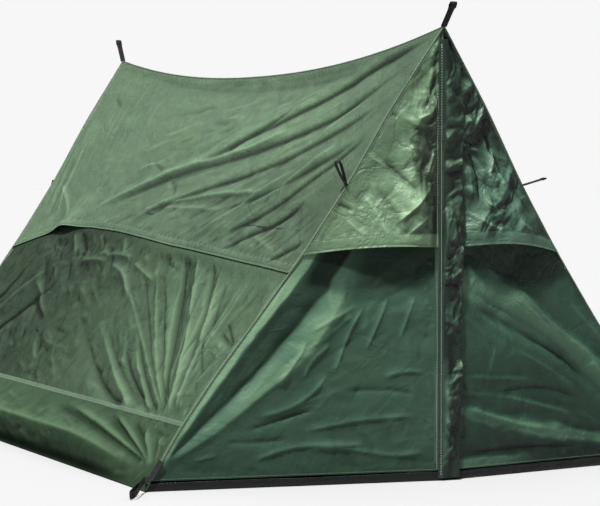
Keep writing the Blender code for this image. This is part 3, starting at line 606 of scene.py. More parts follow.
def rear_surface(x, z, off=0.0, hood=False):
    x, z = np.broadcast_arrays(np.asarray(x, float), np.asarray(z, float))
    h, side = np.abs(x), np.where(x < 0, -1.0, 1.0)
    hw = half_width(z)
    q = np.clip(h / np.maximum(hw, 1e-3), 0, 1)
    hem = rear_hem(q)
    m = smooth(0, .014, hw - h) * smooth(0.0, .03, z)
    if hood:
        s = np.clip((z - hem) / (1.052 - hem), 0, 1)
        up = z - hem
        base = 0.0008 + 0.030 * (1 - q * q) * (1 - smooth(0, .5, s))
        d = rear_hood_map(x, z) + 0.0008 * fbm(x / .06, z / .06, 41) + 0.002 * fbm(x / .2, z / .2, 43, 2)
        d = d * m * smooth(-.01, .05, 1.052 - z) * (0.3 + 0.7 * smooth(.004, .04, up))
        d = d - 0.0013 * np.exp(-((up - .0225) / .0016) ** 2) + 0.0012 * (1 - smooth(.0235, .026, up))
    else:
        base = -0.0034 * smooth(.6, 1, np.clip((z - .1522) / (hem + .012 - .1522), 0, 1))
        d = (rear_map(x, z) + 0.0008 * fbm(x / .06, z / .06, 45) + 0.002 * fbm(x / .25, z / .2, 47, 2)) * m
        near = np.exp(-((z - SEAM_Z) / .009) ** 2)
        d = d * (1 - .55 * near)
    y = Y_REAR - REAR_SETBACK * h / HALF
    n = np.stack([side * REAR_SETBACK * smooth(0, .05, h), np.full(h.shape, HALF), 0 * h], -1)
    n = n / np.linalg.norm(n, axis=-1, keepdims=True)
    return np.stack([x, y, z], -1) + n * (base + d + off)[..., None]


# ---------------------------------------------------------------- painted light and shade: folds lit and shaded by how they face the light, painted shadows and lit bands
def facing(P, flip):
    """How much more than its neighbours each point faces up and to the left, towards the key light; painted light and
    shade follow it.
    """
    N = np.cross(np.gradient(P, axis=1), np.gradient(P, axis=0)) * (-1 if flip else 1)
    N = N / np.maximum(np.linalg.norm(N, axis=-1, keepdims=True), 1e-12)
    f = N @ (np.array([-.55, -.35, .76]) / 1.0)
    return f - np.median(f)


def hood_painted_shading(side, P):
    # painted light and shade on the hoods: on the left hood a painted shadow over the part by the zip, facets painted
    # lighter or darker by how they face the key light, and the hem band painted a little darker; the right hood painted
    # darker overall, its facets painted the same way and more strongly near the zip, and its hem band painted lighter
    h, z = np.abs(P[..., 0]), P[..., 2]
    up = z - front_hem(q_of(side, h, z), side)
    hem = 1 - smooth(.029, .0325, up)
    f = facing(P, side < 0)
    if side < 0:
        edge = np.interp(z, [.55, .60, .65, .72, .80, .86, .93, 1.0, 1.04], [.132, .122, .098, .086, .078, .056, .036, .030, .026])
        edge = edge + .012 * facets(h / .035 + 3, z / .06) + .008 * facets(h / .014, z / .022 + 5)
        m = smooth(.003, -.003, h - edge)
        d = m * (1.75 - np.clip(5.5 * f, -.7, 2.9)) - (1 - m) * np.clip(2.2 * f, -.8, .7)
        return d * (1 - hem) + .15 * hem
    near = 1 - smooth(.12, .24, h + .02 * facets(h / .05, z / .05))
    d = near * (1.55 - np.clip(8.0 * f, -1.3, 2.9)) + (1 - near) * (.95 - np.clip(5.0 * f, -1.3, 1.4))
    return d * (1 - hem) - .5 * hem


def roof_painted_shading(P):
    # painted shade on the roof: darker towards the front and low down by the hem near the front, and folds painted
    # lighter or darker by how they face the key light, less so towards the rear
    y, z = P[..., 1], P[..., 2]
    back = y - Y_FRONT
    shade = -np.clip(3.2 * facing(P, P[..., 0].mean() < 0), -.8, .8) * (1 - .8 * smooth(.5, 1.4, back))
    return .36 * (1 - smooth(.2, 1.0, back)) + .65 * (1 - smooth(.62, .80, z)) * (1 - smooth(1.2, 1.8, back)) + shade


def door_painted_shading(side, P):
    # painted light and shade on the lower doors: on the left door a painted lit strip along the corner seam, a painted
    # dark stripe beside it and a painted lit band, with painted shade low down; on the right door a painted lit
    # diagonal band, painted lit fold and crease lines and a painted lit strip above the sill, with painted shade low
    # down
    h, z = np.abs(P[..., 0]), P[..., 2]
    if side < 0:
        zl = [.06, .087, .187, .305, .411, .497, .541, .57]
        left = np.interp(z, zl, [.665, .650, .583, .492, .408, .334, .300, .280])
        zr = [.06, .096, .194, .280, .371, .462, .521, .57]
        right = np.interp(z, zr, [.660, .632, .519, .430, .350, .275, .238, .21])
        z3 = [.05, .073, .113, .207, .264, .340, .476, .57]
        third = np.interp(z, z3, [.68, .655, .575, .450, .370, .290, .215, .19])
        wob = .004 * vnoise(h / .03, z / .03)
        strip = smooth(-.005, .005, h - left + wob)
        dark = smooth(-.006, .006, h - right + wob) * (1 - strip)
        band = smooth(-.030, .030, h - third + wob) * (1 - strip) * (1 - dark)
        low = smooth(.03, .10, z)
        return (-2.7 * strip + .75 * dark * smooth(.14, .45, z) - 1.6 * band) * low + .5 * (1 - smooth(.05, .28, z)) * (1 - strip)
    zt = np.interp(h, [.14, .18, .219, .293, .358, .435, .69], [.50, .47, .442, .377, .332, .289, .045])
    zb = np.interp(h, [.05, .08, .114, .187, .272, .359, .452, .66], [.44, .42, .40, .364, .323, .285, .205, .035])
    wob = .005 * vnoise(h / .03, z / .02)
    band = smooth(-.004, .010, zt - z + wob) * smooth(-.018, .014, z - zb + wob) * smooth(.02, .08, z)
    top = np.interp(h, [.045, .172, .322, .401, .484, .70], [.178, .146, .116, .090, .078, .040])
    bottom = np.interp(h, [.052, .135, .251, .449, .70], [.150, .122, .092, .058, .030])
    fold = smooth(-.010, .010, top - z + wob) * smooth(-.005, .008, z - bottom + wob) * (1 - band)
    hem = (1 - smooth(.042, .052, z + wob)) * (1 - smooth(.16, .32, h)) * (1 - fold)
    crease = np.exp(-((z - np.interp(h, [.055, .182, .29, .401], [.205, .191, .163, .132])) / .004) ** 2) * (1 - smooth(.36, .42, h))
    shade = 1.1 * (1 - smooth(.20, .33, z)) + .8 * (1 - smooth(.06, .14, z))
    return shade * (1 - band) * (1 - fold) * (1 - hem) - 2.0 * band - np.clip(.4 + 4.5 * h, 0, 2.0) * fold - 1.7 * hem - 1.1 * crease


# ---------------------------------------------------------------- materials
def new_material(name):
    m = bpy.data.materials.new(name)
    m.use_nodes = True
    nt = m.node_tree
    for n in list(nt.nodes):
        nt.nodes.remove(n)
    out = nt.nodes.new("ShaderNodeOutputMaterial")
    b = nt.nodes.new("ShaderNodeBsdfPrincipled")
    nt.links.new(b.outputs[0], out.inputs[0])
    return m, nt, b


class Nodes:
    """Short calls for node graphs."""

    def __init__(self, nt):
        self.nt = nt
        self.coord = nt.nodes.new("ShaderNodeTexCoord").outputs["Object"]

    def link(self, a, b):
        if isinstance(a, (int, float)):
            b.default_value = a
        elif isinstance(a, (tuple, list)):
            b.default_value = a if len(a) == 4 or b.type == "VECTOR" else (*a, 1)
        else:
            self.nt.links.new(a, b)

    def attr(self, name):
        n = self.nt.nodes.new("ShaderNodeAttribute")
        n.attribute_name = name
        return n.outputs["Vector"]

    def mapping(self, vec, scale=(1, 1, 1), rot=(0, 0, 0), loc=(0, 0, 0)):
        n = self.nt.nodes.new("ShaderNodeMapping")
        self.link(vec, n.inputs[0])
        n.inputs[1].default_value = loc
        n.inputs[2].default_value = rot
        n.inputs[3].default_value = scale
        return n.outputs[0]

    def noise(self, scale, detail=2.0, rough=0.5, vec=None, distortion=0.0):
        n = self.nt.nodes.new("ShaderNodeTexNoise")
        self.link(self.coord if vec is None else vec, n.inputs["Vector"])
        n.inputs["Scale"].default_value = scale
        n.inputs["Detail"].default_value = detail
        n.inputs["Roughness"].default_value = rough
        n.inputs["Distortion"].default_value = distortion
        return n.outputs["Fac"]

    def voronoi(self, scale, feature="F1", vec=None):
        n = self.nt.nodes.new("ShaderNodeTexVoronoi")
        n.feature = feature
        self.link(self.coord if vec is None else vec, n.inputs["Vector"])
        n.inputs["Scale"].default_value = scale
        return n.outputs["Distance"]

    def wave(self, scale, vec, axis="X", distortion=0.0, profile="SIN"):
        n = self.nt.nodes.new("ShaderNodeTexWave")
        n.wave_profile = profile
        n.bands_direction = axis
        self.link(vec, n.inputs["Vector"])
        n.inputs["Scale"].default_value = scale
        n.inputs["Distortion"].default_value = distortion
        return n.outputs["Fac"]

    def math(self, op, a, b=0.0, c=0.0, clamp=False):
        n = self.nt.nodes.new("ShaderNodeMath")
        n.operation = op
        n.use_clamp = clamp
        for i, v in enumerate((a, b, c)):
            self.link(v, n.inputs[i])
        return n.outputs[0]

    def ramp(self, fac, lo, hi, a=0.0, b=1.0):
        n = self.nt.nodes.new("ShaderNodeMapRange")
        n.clamp = True
        self.link(fac, n.inputs["Value"])
        n.inputs["From Min"].default_value = lo
        n.inputs["From Max"].default_value = hi
        n.inputs["To Min"].default_value = a
        n.inputs["To Max"].default_value = b
        return n.outputs["Result"]

    def color(self, fac, a, b, blend="MIX"):
        n = self.nt.nodes.new("ShaderNodeMix")
        n.data_type = "RGBA"
        n.blend_type = blend
        self.link(fac, n.inputs[0])
        self.link(a, n.inputs[6])
        self.link(b, n.inputs[7])
        return n.outputs[2]

    def z(self):
        n = self.nt.nodes.new("ShaderNodeSeparateXYZ")
        self.link(self.coord, n.inputs[0])
        return n.outputs[2]

    def bump(self, height, strength, distance, normal=None):
        n = self.nt.nodes.new("ShaderNodeBump")
        n.inputs["Strength"].default_value = strength
        n.inputs["Distance"].default_value = distance
        self.link(height, n.inputs["Height"])
        if normal is not None:
            self.link(normal, n.inputs["Normal"])
        return n.outputs[0]


def mul(c, k):
    return tuple(x * k for x in c)


def fabric(name, base, rough=0.40, crinkle=0.5, ground_shade=0.0, facets=0.0, spec=0.5, dark=0.72):
    """Coated polyester: a fine weave under a thin glossy coat, with small crinkles, uneven tone and painted light and
    shade read from the mesh.
    """
    m, nt, b = new_material(name)
    g = Nodes(nt)
    large = g.noise(2.3, 2.0)
    tone = g.color(g.ramp(large, .35, .68), mul(base, .93), mul(base, 1.06))
    small = g.noise(34.0, 3.0, .6)
    tone = g.color(g.ramp(small, .30, .72, 0, .35), tone, mul(base, dark))
    yellow = g.noise(5.0, 2.0)
    tone = g.color(g.ramp(yellow, .50, .75, 0, .30), tone, (base[0] * 1.18, base[1] * 1.05, base[2] * .86))
    if ground_shade:
        # painted shade low down near the ground, made patchy with noise
        low = g.ramp(g.z(), 0.0, ground_shade, 1, 0)
        edge = g.math("MULTIPLY", low, g.ramp(g.noise(9.0, 4.0, .65), .2, .8, .55, 1.0))
        tone = g.color(edge, tone, mul(base, .42))
    flat = g.attr("flat")
    lie = g.nt.nodes.new("ShaderNodeSeparateXYZ")
    g.link(flat, lie.inputs[0])
    # painted light and shade from the third value of the 'flat' attribute: valleys and painted shaded areas darker,
    # crests and painted lit areas lighter, with a yellowish painted highlight on the highest
    valley_shade = g.ramp(lie.outputs[2], -2.6, 0.0, .13, 1.0)
    crest = g.ramp(lie.outputs[2], 0.0, 4.0, 1.0, 3.1)
    tone = g.color(g.ramp(lie.outputs[2], .8, 3.6, 0, .75), tone, (base[0] * 1.6, base[1] * 1.15, base[2] * 1.0))
    tone = g.color(1.0, tone, g.math("MULTIPLY", valley_shade, crest), "MULTIPLY")
    weave = g.math("ADD", g.wave(900.0, flat, "X"), g.wave(900.0, flat, "Y"))
    thread = g.ramp(weave, .2, 1.8, .965, 1.03)
    tone = g.color(1.0, tone, thread, "MULTIPLY")
    g.link(tone, b.inputs["Base Color"])
    r = g.ramp(g.noise(14.0, 3.0), .3, .7, rough - .06, rough + .08)
    g.link(r, b.inputs["Roughness"])
    b.inputs["Specular IOR Level"].default_value = spec
    # sharp little creases where the cloth has been folded away wet
    c1 = g.math("ABSOLUTE", g.math("SUBTRACT", g.noise(11.0, 3.0, .55, distortion=.9), .5))
    c2 = g.math("ABSOLUTE", g.math("SUBTRACT", g.noise(31.0, 3.0, .55, distortion=.6), .5))
    n0 = g.bump(g.ramp(c1, 0, .075), .34 * crinkle, .0026)
    n0 = g.bump(g.ramp(c2, 0, .09), .26 * crinkle, .0010, n0)
    n1 = g.bump(g.noise(46.0, 4.0, .62, distortion=.4), .15 * crinkle, .004, n0)
    n2 = g.bump(g.noise(150.0, 2.0, .6), .16 * crinkle, .0012, n1)
    if facets:
        n2 = g.bump(g.voronoi(26.0, "SMOOTH_F1"), facets, .006, n2)
    n3 = g.bump(weave, .06, .0002, n2)
    g.link(n3, b.inputs["Normal"])
    return m


# all these panels are one green coated cloth; their different base colours are painted light and shade: the left hood
# is painted lighter, and the wall, tub, doors, right hood and flap darker than the roof, the right door darker than the
# left
M_ROOF = fabric("canopy_cloth", (0.066, 0.110, 0.066), .45, 1.2, spec=.20)
M_WALL = fabric("wall_cloth", (0.048, 0.081, 0.048), .50, 1.5, spec=.08)
M_TUB = fabric("tub_cloth", (0.036, 0.061, 0.036), .55, .7, ground_shade=.07, spec=.0)
M_DOOR_L = fabric("door_cloth_left", (0.031, 0.065, 0.042), .46, .7, ground_shade=.09, spec=.10)
M_DOOR_R = fabric("door_cloth_right_painted_darker", (0.021, 0.051, 0.033), .40, 1.2, ground_shade=.09, spec=.18)
M_HOOD_L = fabric("hood_cloth_left_painted_lighter", (0.082, 0.138, 0.079), .46, 1.8, spec=.28)
M_HOOD_R = fabric("hood_cloth_right_painted_darker", (0.028, 0.060, 0.040), .42, 1.8, spec=.26)
M_FLAP = fabric("flap_cloth_painted_darker", (0.021, 0.042, 0.028), .40, 1.6, spec=.26)
M_REAR = fabric("rear_cloth", (0.060, 0.100, 0.060), .38, .9, spec=.3)


def plain_weave(name, base, rough, pitch, strength, spec=.4, rib=False):
    m, nt, b = new_material(name)
    g = Nodes(nt)
    flat = g.attr("flat")
    k = 1.0 / pitch * .32
    a = g.wave(k, flat, "X")
    c = g.wave(k * (.5 if rib else 1.0), flat, "Y" if not rib else "DIAGONAL")
    w = g.math("ADD", a, c)
    tone = g.color(g.ramp(w, .1, 1.9), mul(base, .62), mul(base, 1.35))
    tone = g.color(g.ramp(g.noise(60.0, 3.0), .35, .7, 0, .5), tone, mul(base, .7))
    g.link(tone, b.inputs["Base Color"])
    g.link(g.ramp(g.noise(90.0), .3, .7, rough - .08, rough + .08), b.inputs["Roughness"])
    b.inputs["Specular IOR Level"].default_value = spec
    g.link(g.bump(w, strength, pitch * .35, g.bump(g.noise(400.0, 2.0), .2, .0004)), b.inputs["Normal"])
    return m


M_WEB = plain_weave("webbing", (0.0060, 0.0062, 0.0060), .66, .0013, .55, spec=.2, rib=True)
M_TAPE = plain_weave("zip_tape", (0.036, 0.066, 0.044), .60, .0008, .35)
M_BIND = fabric("seam_binding", (0.064, 0.104, 0.064), .42, .6)
M_FLOOR = fabric("floor_cloth", (0.0042, 0.0055, 0.0046), .36, 1.0, spec=.22)


def thread_material(name, base):
    m, nt, b = new_material(name)
    g = Nodes(nt)
    twist = g.wave(420.0, g.coord, "DIAGONAL")
    g.link(g.color(g.ramp(twist, .2, .8), mul(base, .72), mul(base, 1.15)), b.inputs["Base Color"])
    g.link(g.ramp(g.noise(80.0), .3, .7, .45, .62), b.inputs["Roughness"])
    g.link(g.bump(twist, .3, .0002), b.inputs["Normal"])
    return m


M_THREAD = thread_material("thread_green", (0.150, 0.210, 0.140))
M_THREAD_LIGHT = thread_material("thread_pale", (0.420, 0.500, 0.430))
M_THREAD_DARK = thread_material("thread_black", (0.020, 0.024, 0.020))


def net_material():
    m, nt, b = new_material("insect_net")
    g = Nodes(nt)
    flat = g.attr("flat")
    holes = g.math("MULTIPLY", g.wave(260.0, flat, "X"), g.wave(260.0, flat, "Y"))
    g.link(g.ramp(holes, .18, .30, 1.0, .28), b.inputs["Alpha"])
    g.link(g.color(g.ramp(g.noise(20.0), .3, .7), (.012, .017, .013), (.020, .027, .021)), b.inputs["Base Color"])
    b.inputs["Roughness"].default_value = .65
    g.link(g.bump(holes, .3, .0003), b.inputs["Normal"])
    return m


M_NET = net_material()


def metal_material(name, base, rough, brushed=False, metallic=1.0):
    m, nt, b = new_material(name)
    g = Nodes(nt)
    vec = g.mapping(g.coord, (1, 1, .04)) if brushed else g.coord
    streak = g.noise(260.0 if brushed else 120.0, 4.0, .6, vec=vec)
    wear = g.noise(38.0, 4.0, .7)
    g.link(g.color(g.ramp(wear, .45, .75), base, mul(base, .74)), b.inputs["Base Color"])
    b.inputs["Metallic"].default_value = metallic
    g.link(g.ramp(streak, .25, .75, rough - .07, rough + .12), b.inputs["Roughness"])
    g.link(g.bump(streak, .12, .0004), b.inputs["Normal"])
    return m


M_POLE = metal_material("pole_anodised", (0.36, 0.37, 0.385), .30, brushed=True)
M_METAL = metal_material("slider_metal", (0.56, 0.56, 0.54), .34)


def moulded(name, base, rough, scale=700.0):
    m, nt, b = new_material(name)
    g = Nodes(nt)
    grain = g.noise(scale, 2.0, .5)
    dust = g.noise(24.0, 4.0, .7)
    g.link(g.color(g.ramp(dust, .5, .8), base, mul(base, 1.9)), b.inputs["Base Color"])
    g.link(g.ramp(grain, .3, .7, rough - .06, rough + .08), b.inputs["Roughness"])
    g.link(g.bump(grain, .25, .0003), b.inputs["Normal"])
    return m


M_PLASTIC = moulded("pole_plastic", (0.020, 0.021, 0.022), .46)
M_RUBBER = moulded("pole_rubber", (0.014, 0.014, 0.014), .78, 420.0)
M_COIL = moulded("zip_teeth", (0.050, 0.080, 0.056), .38, 900.0)


# ---------------------------------------------------------------- meshes
def make_object(name, me, mat, body):
    me.materials.append(mat)
    o = bpy.data.objects.new(name, me)
    scene.collection.objects.link(o)
    if body:
        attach(o, body)
    return o


def raw_mesh(name, verts, faces, flat=None, smooth_faces=True):
    """faces: an (n, 4) or (n, 3) array."""
    me = bpy.data.meshes.new(name)
    verts = np.ascontiguousarray(verts, np.float32)
    faces = np.ascontiguousarray(faces, np.int32)
    k = faces.shape[1]
    me.vertices.add(len(verts))
    me.vertices.foreach_set("co", verts.ravel())
    me.loops.add(faces.size)
    me.loops.foreach_set("vertex_index", faces.ravel())
    me.polygons.add(len(faces))
    me.polygons.foreach_set("loop_start", np.arange(0, faces.size, k, dtype=np.int32))
    me.polygons.foreach_set("use_smooth", np.full(len(faces), smooth_faces, bool))
    if flat is not None:
        a = me.attributes.new("flat", "FLOAT_VECTOR", "POINT")
        f = np.zeros((len(verts), 3), np.float32)
        flat = np.asarray(flat)
        f[:, :flat.shape[-1]] = flat.reshape(-1, flat.shape[-1])
        a.data.foreach_set("vector", f.ravel())
    me.update(calc_edges=True)
    me.validate()
    return me


def grid_faces(nr, nc, flip=False):
    i = np.arange(nr * nc).reshape(nr, nc)
    f = np.stack([i[:-1, :-1], i[:-1, 1:], i[1:, 1:], i[1:, :-1]], -1).reshape(-1, 4)
    return f[:, ::-1] if flip else f


def grid_flat(P):
    """Lengths along rows and up columns, in metres."""
    dx = np.linalg.norm(np.diff(P, axis=1), axis=-1)
    dy = np.linalg.norm(np.diff(P, axis=0), axis=-1)
    X = np.concatenate([np.zeros((P.shape[0], 1)), np.cumsum(dx, 1)], 1)
    Y = np.concatenate([np.zeros((1, P.shape[1])), np.cumsum(dy, 0)], 0)
    return X, Y


def grid_area(P):
    a, b, c, d = P[:-1, :-1], P[:-1, 1:], P[1:, 1:], P[1:, :-1]
    n1 = np.linalg.norm(np.cross(b - a, c - a), axis=-1)
    n2 = np.linalg.norm(np.cross(c - a, d - a), axis=-1)
    return float((n1 + n2).sum() / 2)


def rows_z(rows):
    return np.array(rows)[..., 2]


def blurred(P, r, axis):
    if r < 1:
        return P
    n = P.shape[axis]
    idx = np.clip(np.arange(-r, n + r), 0, n - 1)
    c = np.cumsum(np.take(P, idx, axis), axis)
    c = np.concatenate([np.zeros_like(np.take(c, [0], axis)), c], axis)
    return (np.take(c, np.arange(2 * r + 1, n + 2 * r + 1), axis) - np.take(c, np.arange(0, n), axis)) / (2 * r + 1)


def relief(P, flip):
    """How far each point stands above or below the cloth around it, from about -1 to 1."""
    if min(P.shape[:2]) < 12:
        return np.zeros(P.shape[:2])
    X, Y = grid_flat(P)
    out = 0.0
    for reach, size, part in ((.011, .0018, .60), (.038, .0065, .75)):
        rx = int(round(reach / max(X[:, -1].mean() / P.shape[1], 1e-4)))
        ry = int(round(reach / max(Y[-1].mean() / P.shape[0], 1e-4)))
        rx, ry = min(rx, P.shape[1] // 4), min(ry, P.shape[0] // 4)
        B = P
        for _ in range(2):
            B = blurred(blurred(B, rx, 1), ry, 0)
        N = unit(np.cross(np.gradient(B, axis=1), np.gradient(B, axis=0))) * (-1 if flip else 1)
        edge = np.minimum(np.arange(P.shape[1]), np.arange(P.shape[1])[::-1])[None] / (2.0 * rx + 1)
        out = out + part * np.clip(((P - B) * N).sum(-1) / size, -1, 1) * np.clip(edge, 0, 1)
    return out


def unit(v):
    v = np.asarray(v, float)
    return v / np.maximum(np.linalg.norm(v, axis=-1, keepdims=True), 1e-12)


def cloth(name, P, mat, body, replaces=(), flip=False, blend=None, painted_shading=None):
    """A woven sheet from a grid of points; the size it is cut to is worked out but not used."""
    X, Y = grid_flat(P)
    # painted light and shade: the cloth's hollows painted darker and its raised folds lighter by how far each point
    # stands out from the cloth around it, and the painted shading passed in is added, darker where it is positive; kept
    # as the third value of the 'flat' attribute
    tone = relief(P, flip)
    if painted_shading is not None:
        tone = tone - painted_shading
    me = raw_mesh(name, P.reshape(-1, 3), grid_faces(*P.shape[:2], flip=flip), np.stack([X, Y, tone], -1))
    o = make_object(name, me, mat, body if blend is None else None)
    if replaces:
        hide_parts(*replaces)
    w, l = float(X[:, -1].max()), float(Y[-1].max())
    area = grid_area(P)
    w, l = math.ceil(w * 1000) / 1000, math.ceil(l * 1000) / 1000
    if area > w * l * .998:
        w = math.ceil(area / l / .998 * 1000) / 1000
    area = max(area, .305 * w * l)
    if blend:
        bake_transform(o)
    return o


def spaced(a, b, step, *dense):
    """Positions from a to b, about step apart, closer in each (from, to, step) of dense."""
    xs = list(np.linspace(a, b, max(2, int(round((b - a) / step)) + 1)))
    for lo, hi, fine in dense:
        xs = [x for x in xs if not lo <= x <= hi] + list(np.linspace(lo, hi, max(2, int(round((hi - lo) / fine)) + 1)))
    return np.array(sorted(set(round(float(x), 6) for x in xs)))


# ---- stitches: one small domed thread each
_RING = np.array([(math.cos(a), math.sin(a)) for a in np.linspace(0, 2 * math.pi, 6)[:-1]])


def stitch_mesh(paths, pitch=.0052, length=.0036, radius=.00048):
    """paths: list of (points (n,3), normals (n,3)). Returns vertices and quads of all stitches."""
    V, F = [], []
    rings = ((-.5, .18, -.9), (-.30, .92, .1), (.30, .92, .1), (.5, .18, -.9))
    template_f = []
    for k in range(3):
        for i in range(5):
            j = (i + 1) % 5
            template_f.append((k * 5 + i, k * 5 + j, (k + 1) * 5 + j, (k + 1) * 5 + i))
    template_f = np.array(template_f)
    base = 0
    for pts, nrm in paths:
        pts, nrm = np.asarray(pts, float), np.asarray(nrm, float)
        seg = np.linalg.norm(np.diff(pts, axis=0), axis=1)
        run = np.concatenate([[0], np.cumsum(seg)])
        n = int((run[-1] - length) / pitch)
        if n < 1:
            continue
        at = (np.arange(n) + .5) * run[-1] / n
        c = np.stack([np.interp(at, run, pts[:, i]) for i in range(3)], -1)
        a = np.stack([np.interp(at - length / 2, run, pts[:, i]) for i in range(3)], -1)
        b = np.stack([np.interp(at + length / 2, run, pts[:, i]) for i in range(3)], -1)
        N = np.stack([np.interp(at, run, nrm[:, i]) for i in range(3)], -1)
        T = b - a
        T /= np.maximum(np.linalg.norm(T, axis=1, keepdims=True), 1e-9)
        N -= T * (N * T).sum(1, keepdims=True)
        N /= np.maximum(np.linalg.norm(N, axis=1, keepdims=True), 1e-9)
        B = np.cross(T, N)
        v = np.zeros((n, 20, 3))
        for k, (along, size, lift) in enumerate(rings):
            for i in range(5):
                v[:, k * 5 + i] = c + T * along * length + N * (lift + _RING[i, 1] * size) * radius + B * _RING[i, 0] * size * radius
        V.append(v.reshape(-1, 3))
        F.append((template_f[None] + (base + 20 * np.arange(n))[:, None, None]).reshape(-1, 4))
        base += 20 * n
    return np.concatenate(V), np.concatenate(F)


def stitches(name, paths, mat, body, slot, blend=None, **kw):
    v, f = stitch_mesh(paths, **kw)
    me = raw_mesh(name, v, f)
    o = make_object(name, me, mat, body if blend is None else None)
    if blend:
        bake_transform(o)
    return o


def path_on(fn, a, b, off=.0009):
    """A path on a surface with its outward normals: fn(a, b, off) gives points."""
    p = fn(a, b, off)
    q = fn(a, b, off + .001)
    return p, (q - p) / .001


# ---- ribbons: tapes and webbing with a real thickness
def ribbon(name, centre, across, up, width, thickness, mat, body, replaces=(), blend=None, crown=.0, segments=6):
    """A flat band along centre (n,3); across and up are unit vectors per point."""
    centre, across, up = (np.asarray(v, float) for v in (centre, across, up))
    n = len(centre)
    run = np.concatenate([[0], np.cumsum(np.linalg.norm(np.diff(centre, axis=0), axis=1))])
    width = np.broadcast_to(np.asarray(width, float), (n,))
    ring = []
    k = np.linspace(-1, 1, segments + 1)
    edge = thickness * .35
    for s in k:
        ring.append((s, .5 * (1 - .55 * abs(s) ** 8) + crown * (1 - s * s) / max(thickness, 1e-6)))
    for s in k[::-1]:
        ring.append((s, -.5 * (1 - .55 * abs(s) ** 8) + crown * (1 - s * s) / max(thickness, 1e-6)))
    ring = np.array(ring)
    m = len(ring)
    V = centre[:, None] + across[:, None] * (ring[None, :, 0] * width[:, None] / 2)[..., None] + up[:, None] * (ring[None, :, 1] * thickness)[..., None]
    i = np.arange(n * m).reshape(n, m)
    j = np.roll(i, -1, 1)
    F = np.stack([i[:-1], i[1:], j[1:], j[:-1]], -1).reshape(-1, 4)
    caps = []
    for row in (i[0], i[-1][::-1]):
        for a in range(segments):
            caps.append((row[a], row[a + 1], row[m - 2 - a], row[m - 1 - a]))
    F = np.concatenate([F, np.array(caps)])
    flat = np.stack([np.broadcast_to(run[:, None], (n, m)), np.broadcast_to(ring[None, :, 0] * width[:, None] / 2, (n, m))], -1)
    me = raw_mesh(name, V.reshape(-1, 3), F, flat.reshape(-1, 2))
    o = make_object(name, me, mat, body if blend is None else None)
    if replaces:
        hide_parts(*replaces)
    if blend:
        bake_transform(o)
    return o


def tangents(p):
    t = np.gradient(np.asarray(p, float), axis=0)
    return unit(t)


# the line each door folds along, from the zip's top to the ground corner, given as its two bodies and two points just
# off its middle
def door_blend(side):
    a = end_pt(side, 0.0, DOOR_TOP, "front")
    b = end_pt(side, HALF, 0.0, "front")
    n = np.cross(end_normal(side, "front"), unit(b - a))
    if n[2] > 0:
        n = -n
    mid = (a + b) / 2
    return ("tent", "door_left" if side < 0 else "door_right", tuple(mid + n * .004), tuple(mid + n * .100))


BLEND = {s: door_blend(s) for s in (-1, 1)}
NAME = {-1: "left", 1: "right"}

# ================================================================ the canopy
for side in (-1, 1):
    lr = NAME[side]
    t = spaced(.0003, .9997, .0024)
    # rows from the folded-under edge of the hem, round the hem, and up to the ridge
    hem_rows = np.array([.0, .0008, .0024, .0040, .0050, .0060, .0090, .0130, .0170, .0200, .0213, .0225, .0237, .0250, .0275])
    rest = spaced(.0275, 0.64, .0047)[1:]
    length_of = (1 - 0.0012 / HEIGHT - side_hem(t)) * SLOPE      # slope length above the hem at each t
    under = []
    for back, drop in ((.0220, .0016), (.0150, .0017), (.0080, .0017), (.0030, .0016), (.0006, .0010)):
        s = back / length_of
        under.append(roof_surface(side, t, s, -drop))
    rows = []
    span = rest[-1]
    for d in list(hem_rows) + list(rest):
        k = d if d < .0276 else .0275 + (d - .0275) / (span - .0275) * (length_of - .0275)
        rows.append(roof_surface(side, t, np.clip(k / length_of, 0, 1)))
    P = np.array(under + rows)
    cloth("roof_sheet_" + lr, P, M_ROOF, "tent", ["roof_" + lr],
          flip=side < 0, painted_shading=roof_painted_shading(P))

    t = spaced(.0003, .9997, .0014)
    rows = [wall_surface(side, t, SEAM_Z / HEIGHT + .0002 + (side_hem(t) + .012 - SEAM_Z / HEIGHT - .0002) * k) for k in spaced(0, 1, .0074)]
    P = np.array(rows)
    # painted shade on the wall: darker towards the rear, and folds painted lighter or darker by how they face the key
    # light
    cloth("wall_sheet_" + lr, P, M_WALL, "tent", ["wall_" + lr],
          flip=side < 0, painted_shading=.1 + .55 * smooth(.2, .8, t * LENGTH)[None] + 1.20 * smooth(.7, 1.6, t * LENGTH)[None] - np.clip(3.0 * facing(P, side < 0), -.9, .7))
    zs = spaced(.0012, SEAM_Z, .0036)
    rows = [wall_surface(side, t, z / HEIGHT) for z in zs]
    # painted shade on the tub: a little darker all over, and much darker below the crease where it turns under, except
    # close to the front corner
    crest, size = tub_crest(t * LENGTH)
    under = 1 - smooth(-.006, .004, (zs / HEIGHT * SLOPE)[:, None] - crest[None])
    cloth("tub_sheet_" + lr, np.array(rows), M_TUB, "tent", ["tub_wall_" + lr],
          flip=side < 0, painted_shading=.1 + 1.5 * under * smooth(.05, .4, t * LENGTH)[None])
    t = spaced(.006, .994, .02)
    rows = [side_pt(side, t, (side_hem(t) + .0145) * (1 - k) + .600 * k, -.0042 - .030 * math.sin(math.pi * min(1, k * 1.6 + .02)) ** .6 * smooth(0, .05, t) * smooth(0, .05, 1 - t)) for k in spaced(0, .62, .06)]
    cloth("vent_net_" + lr, np.array(rows), M_NET, "tent", ["vent_mesh_" + lr],
          flip=side < 0)

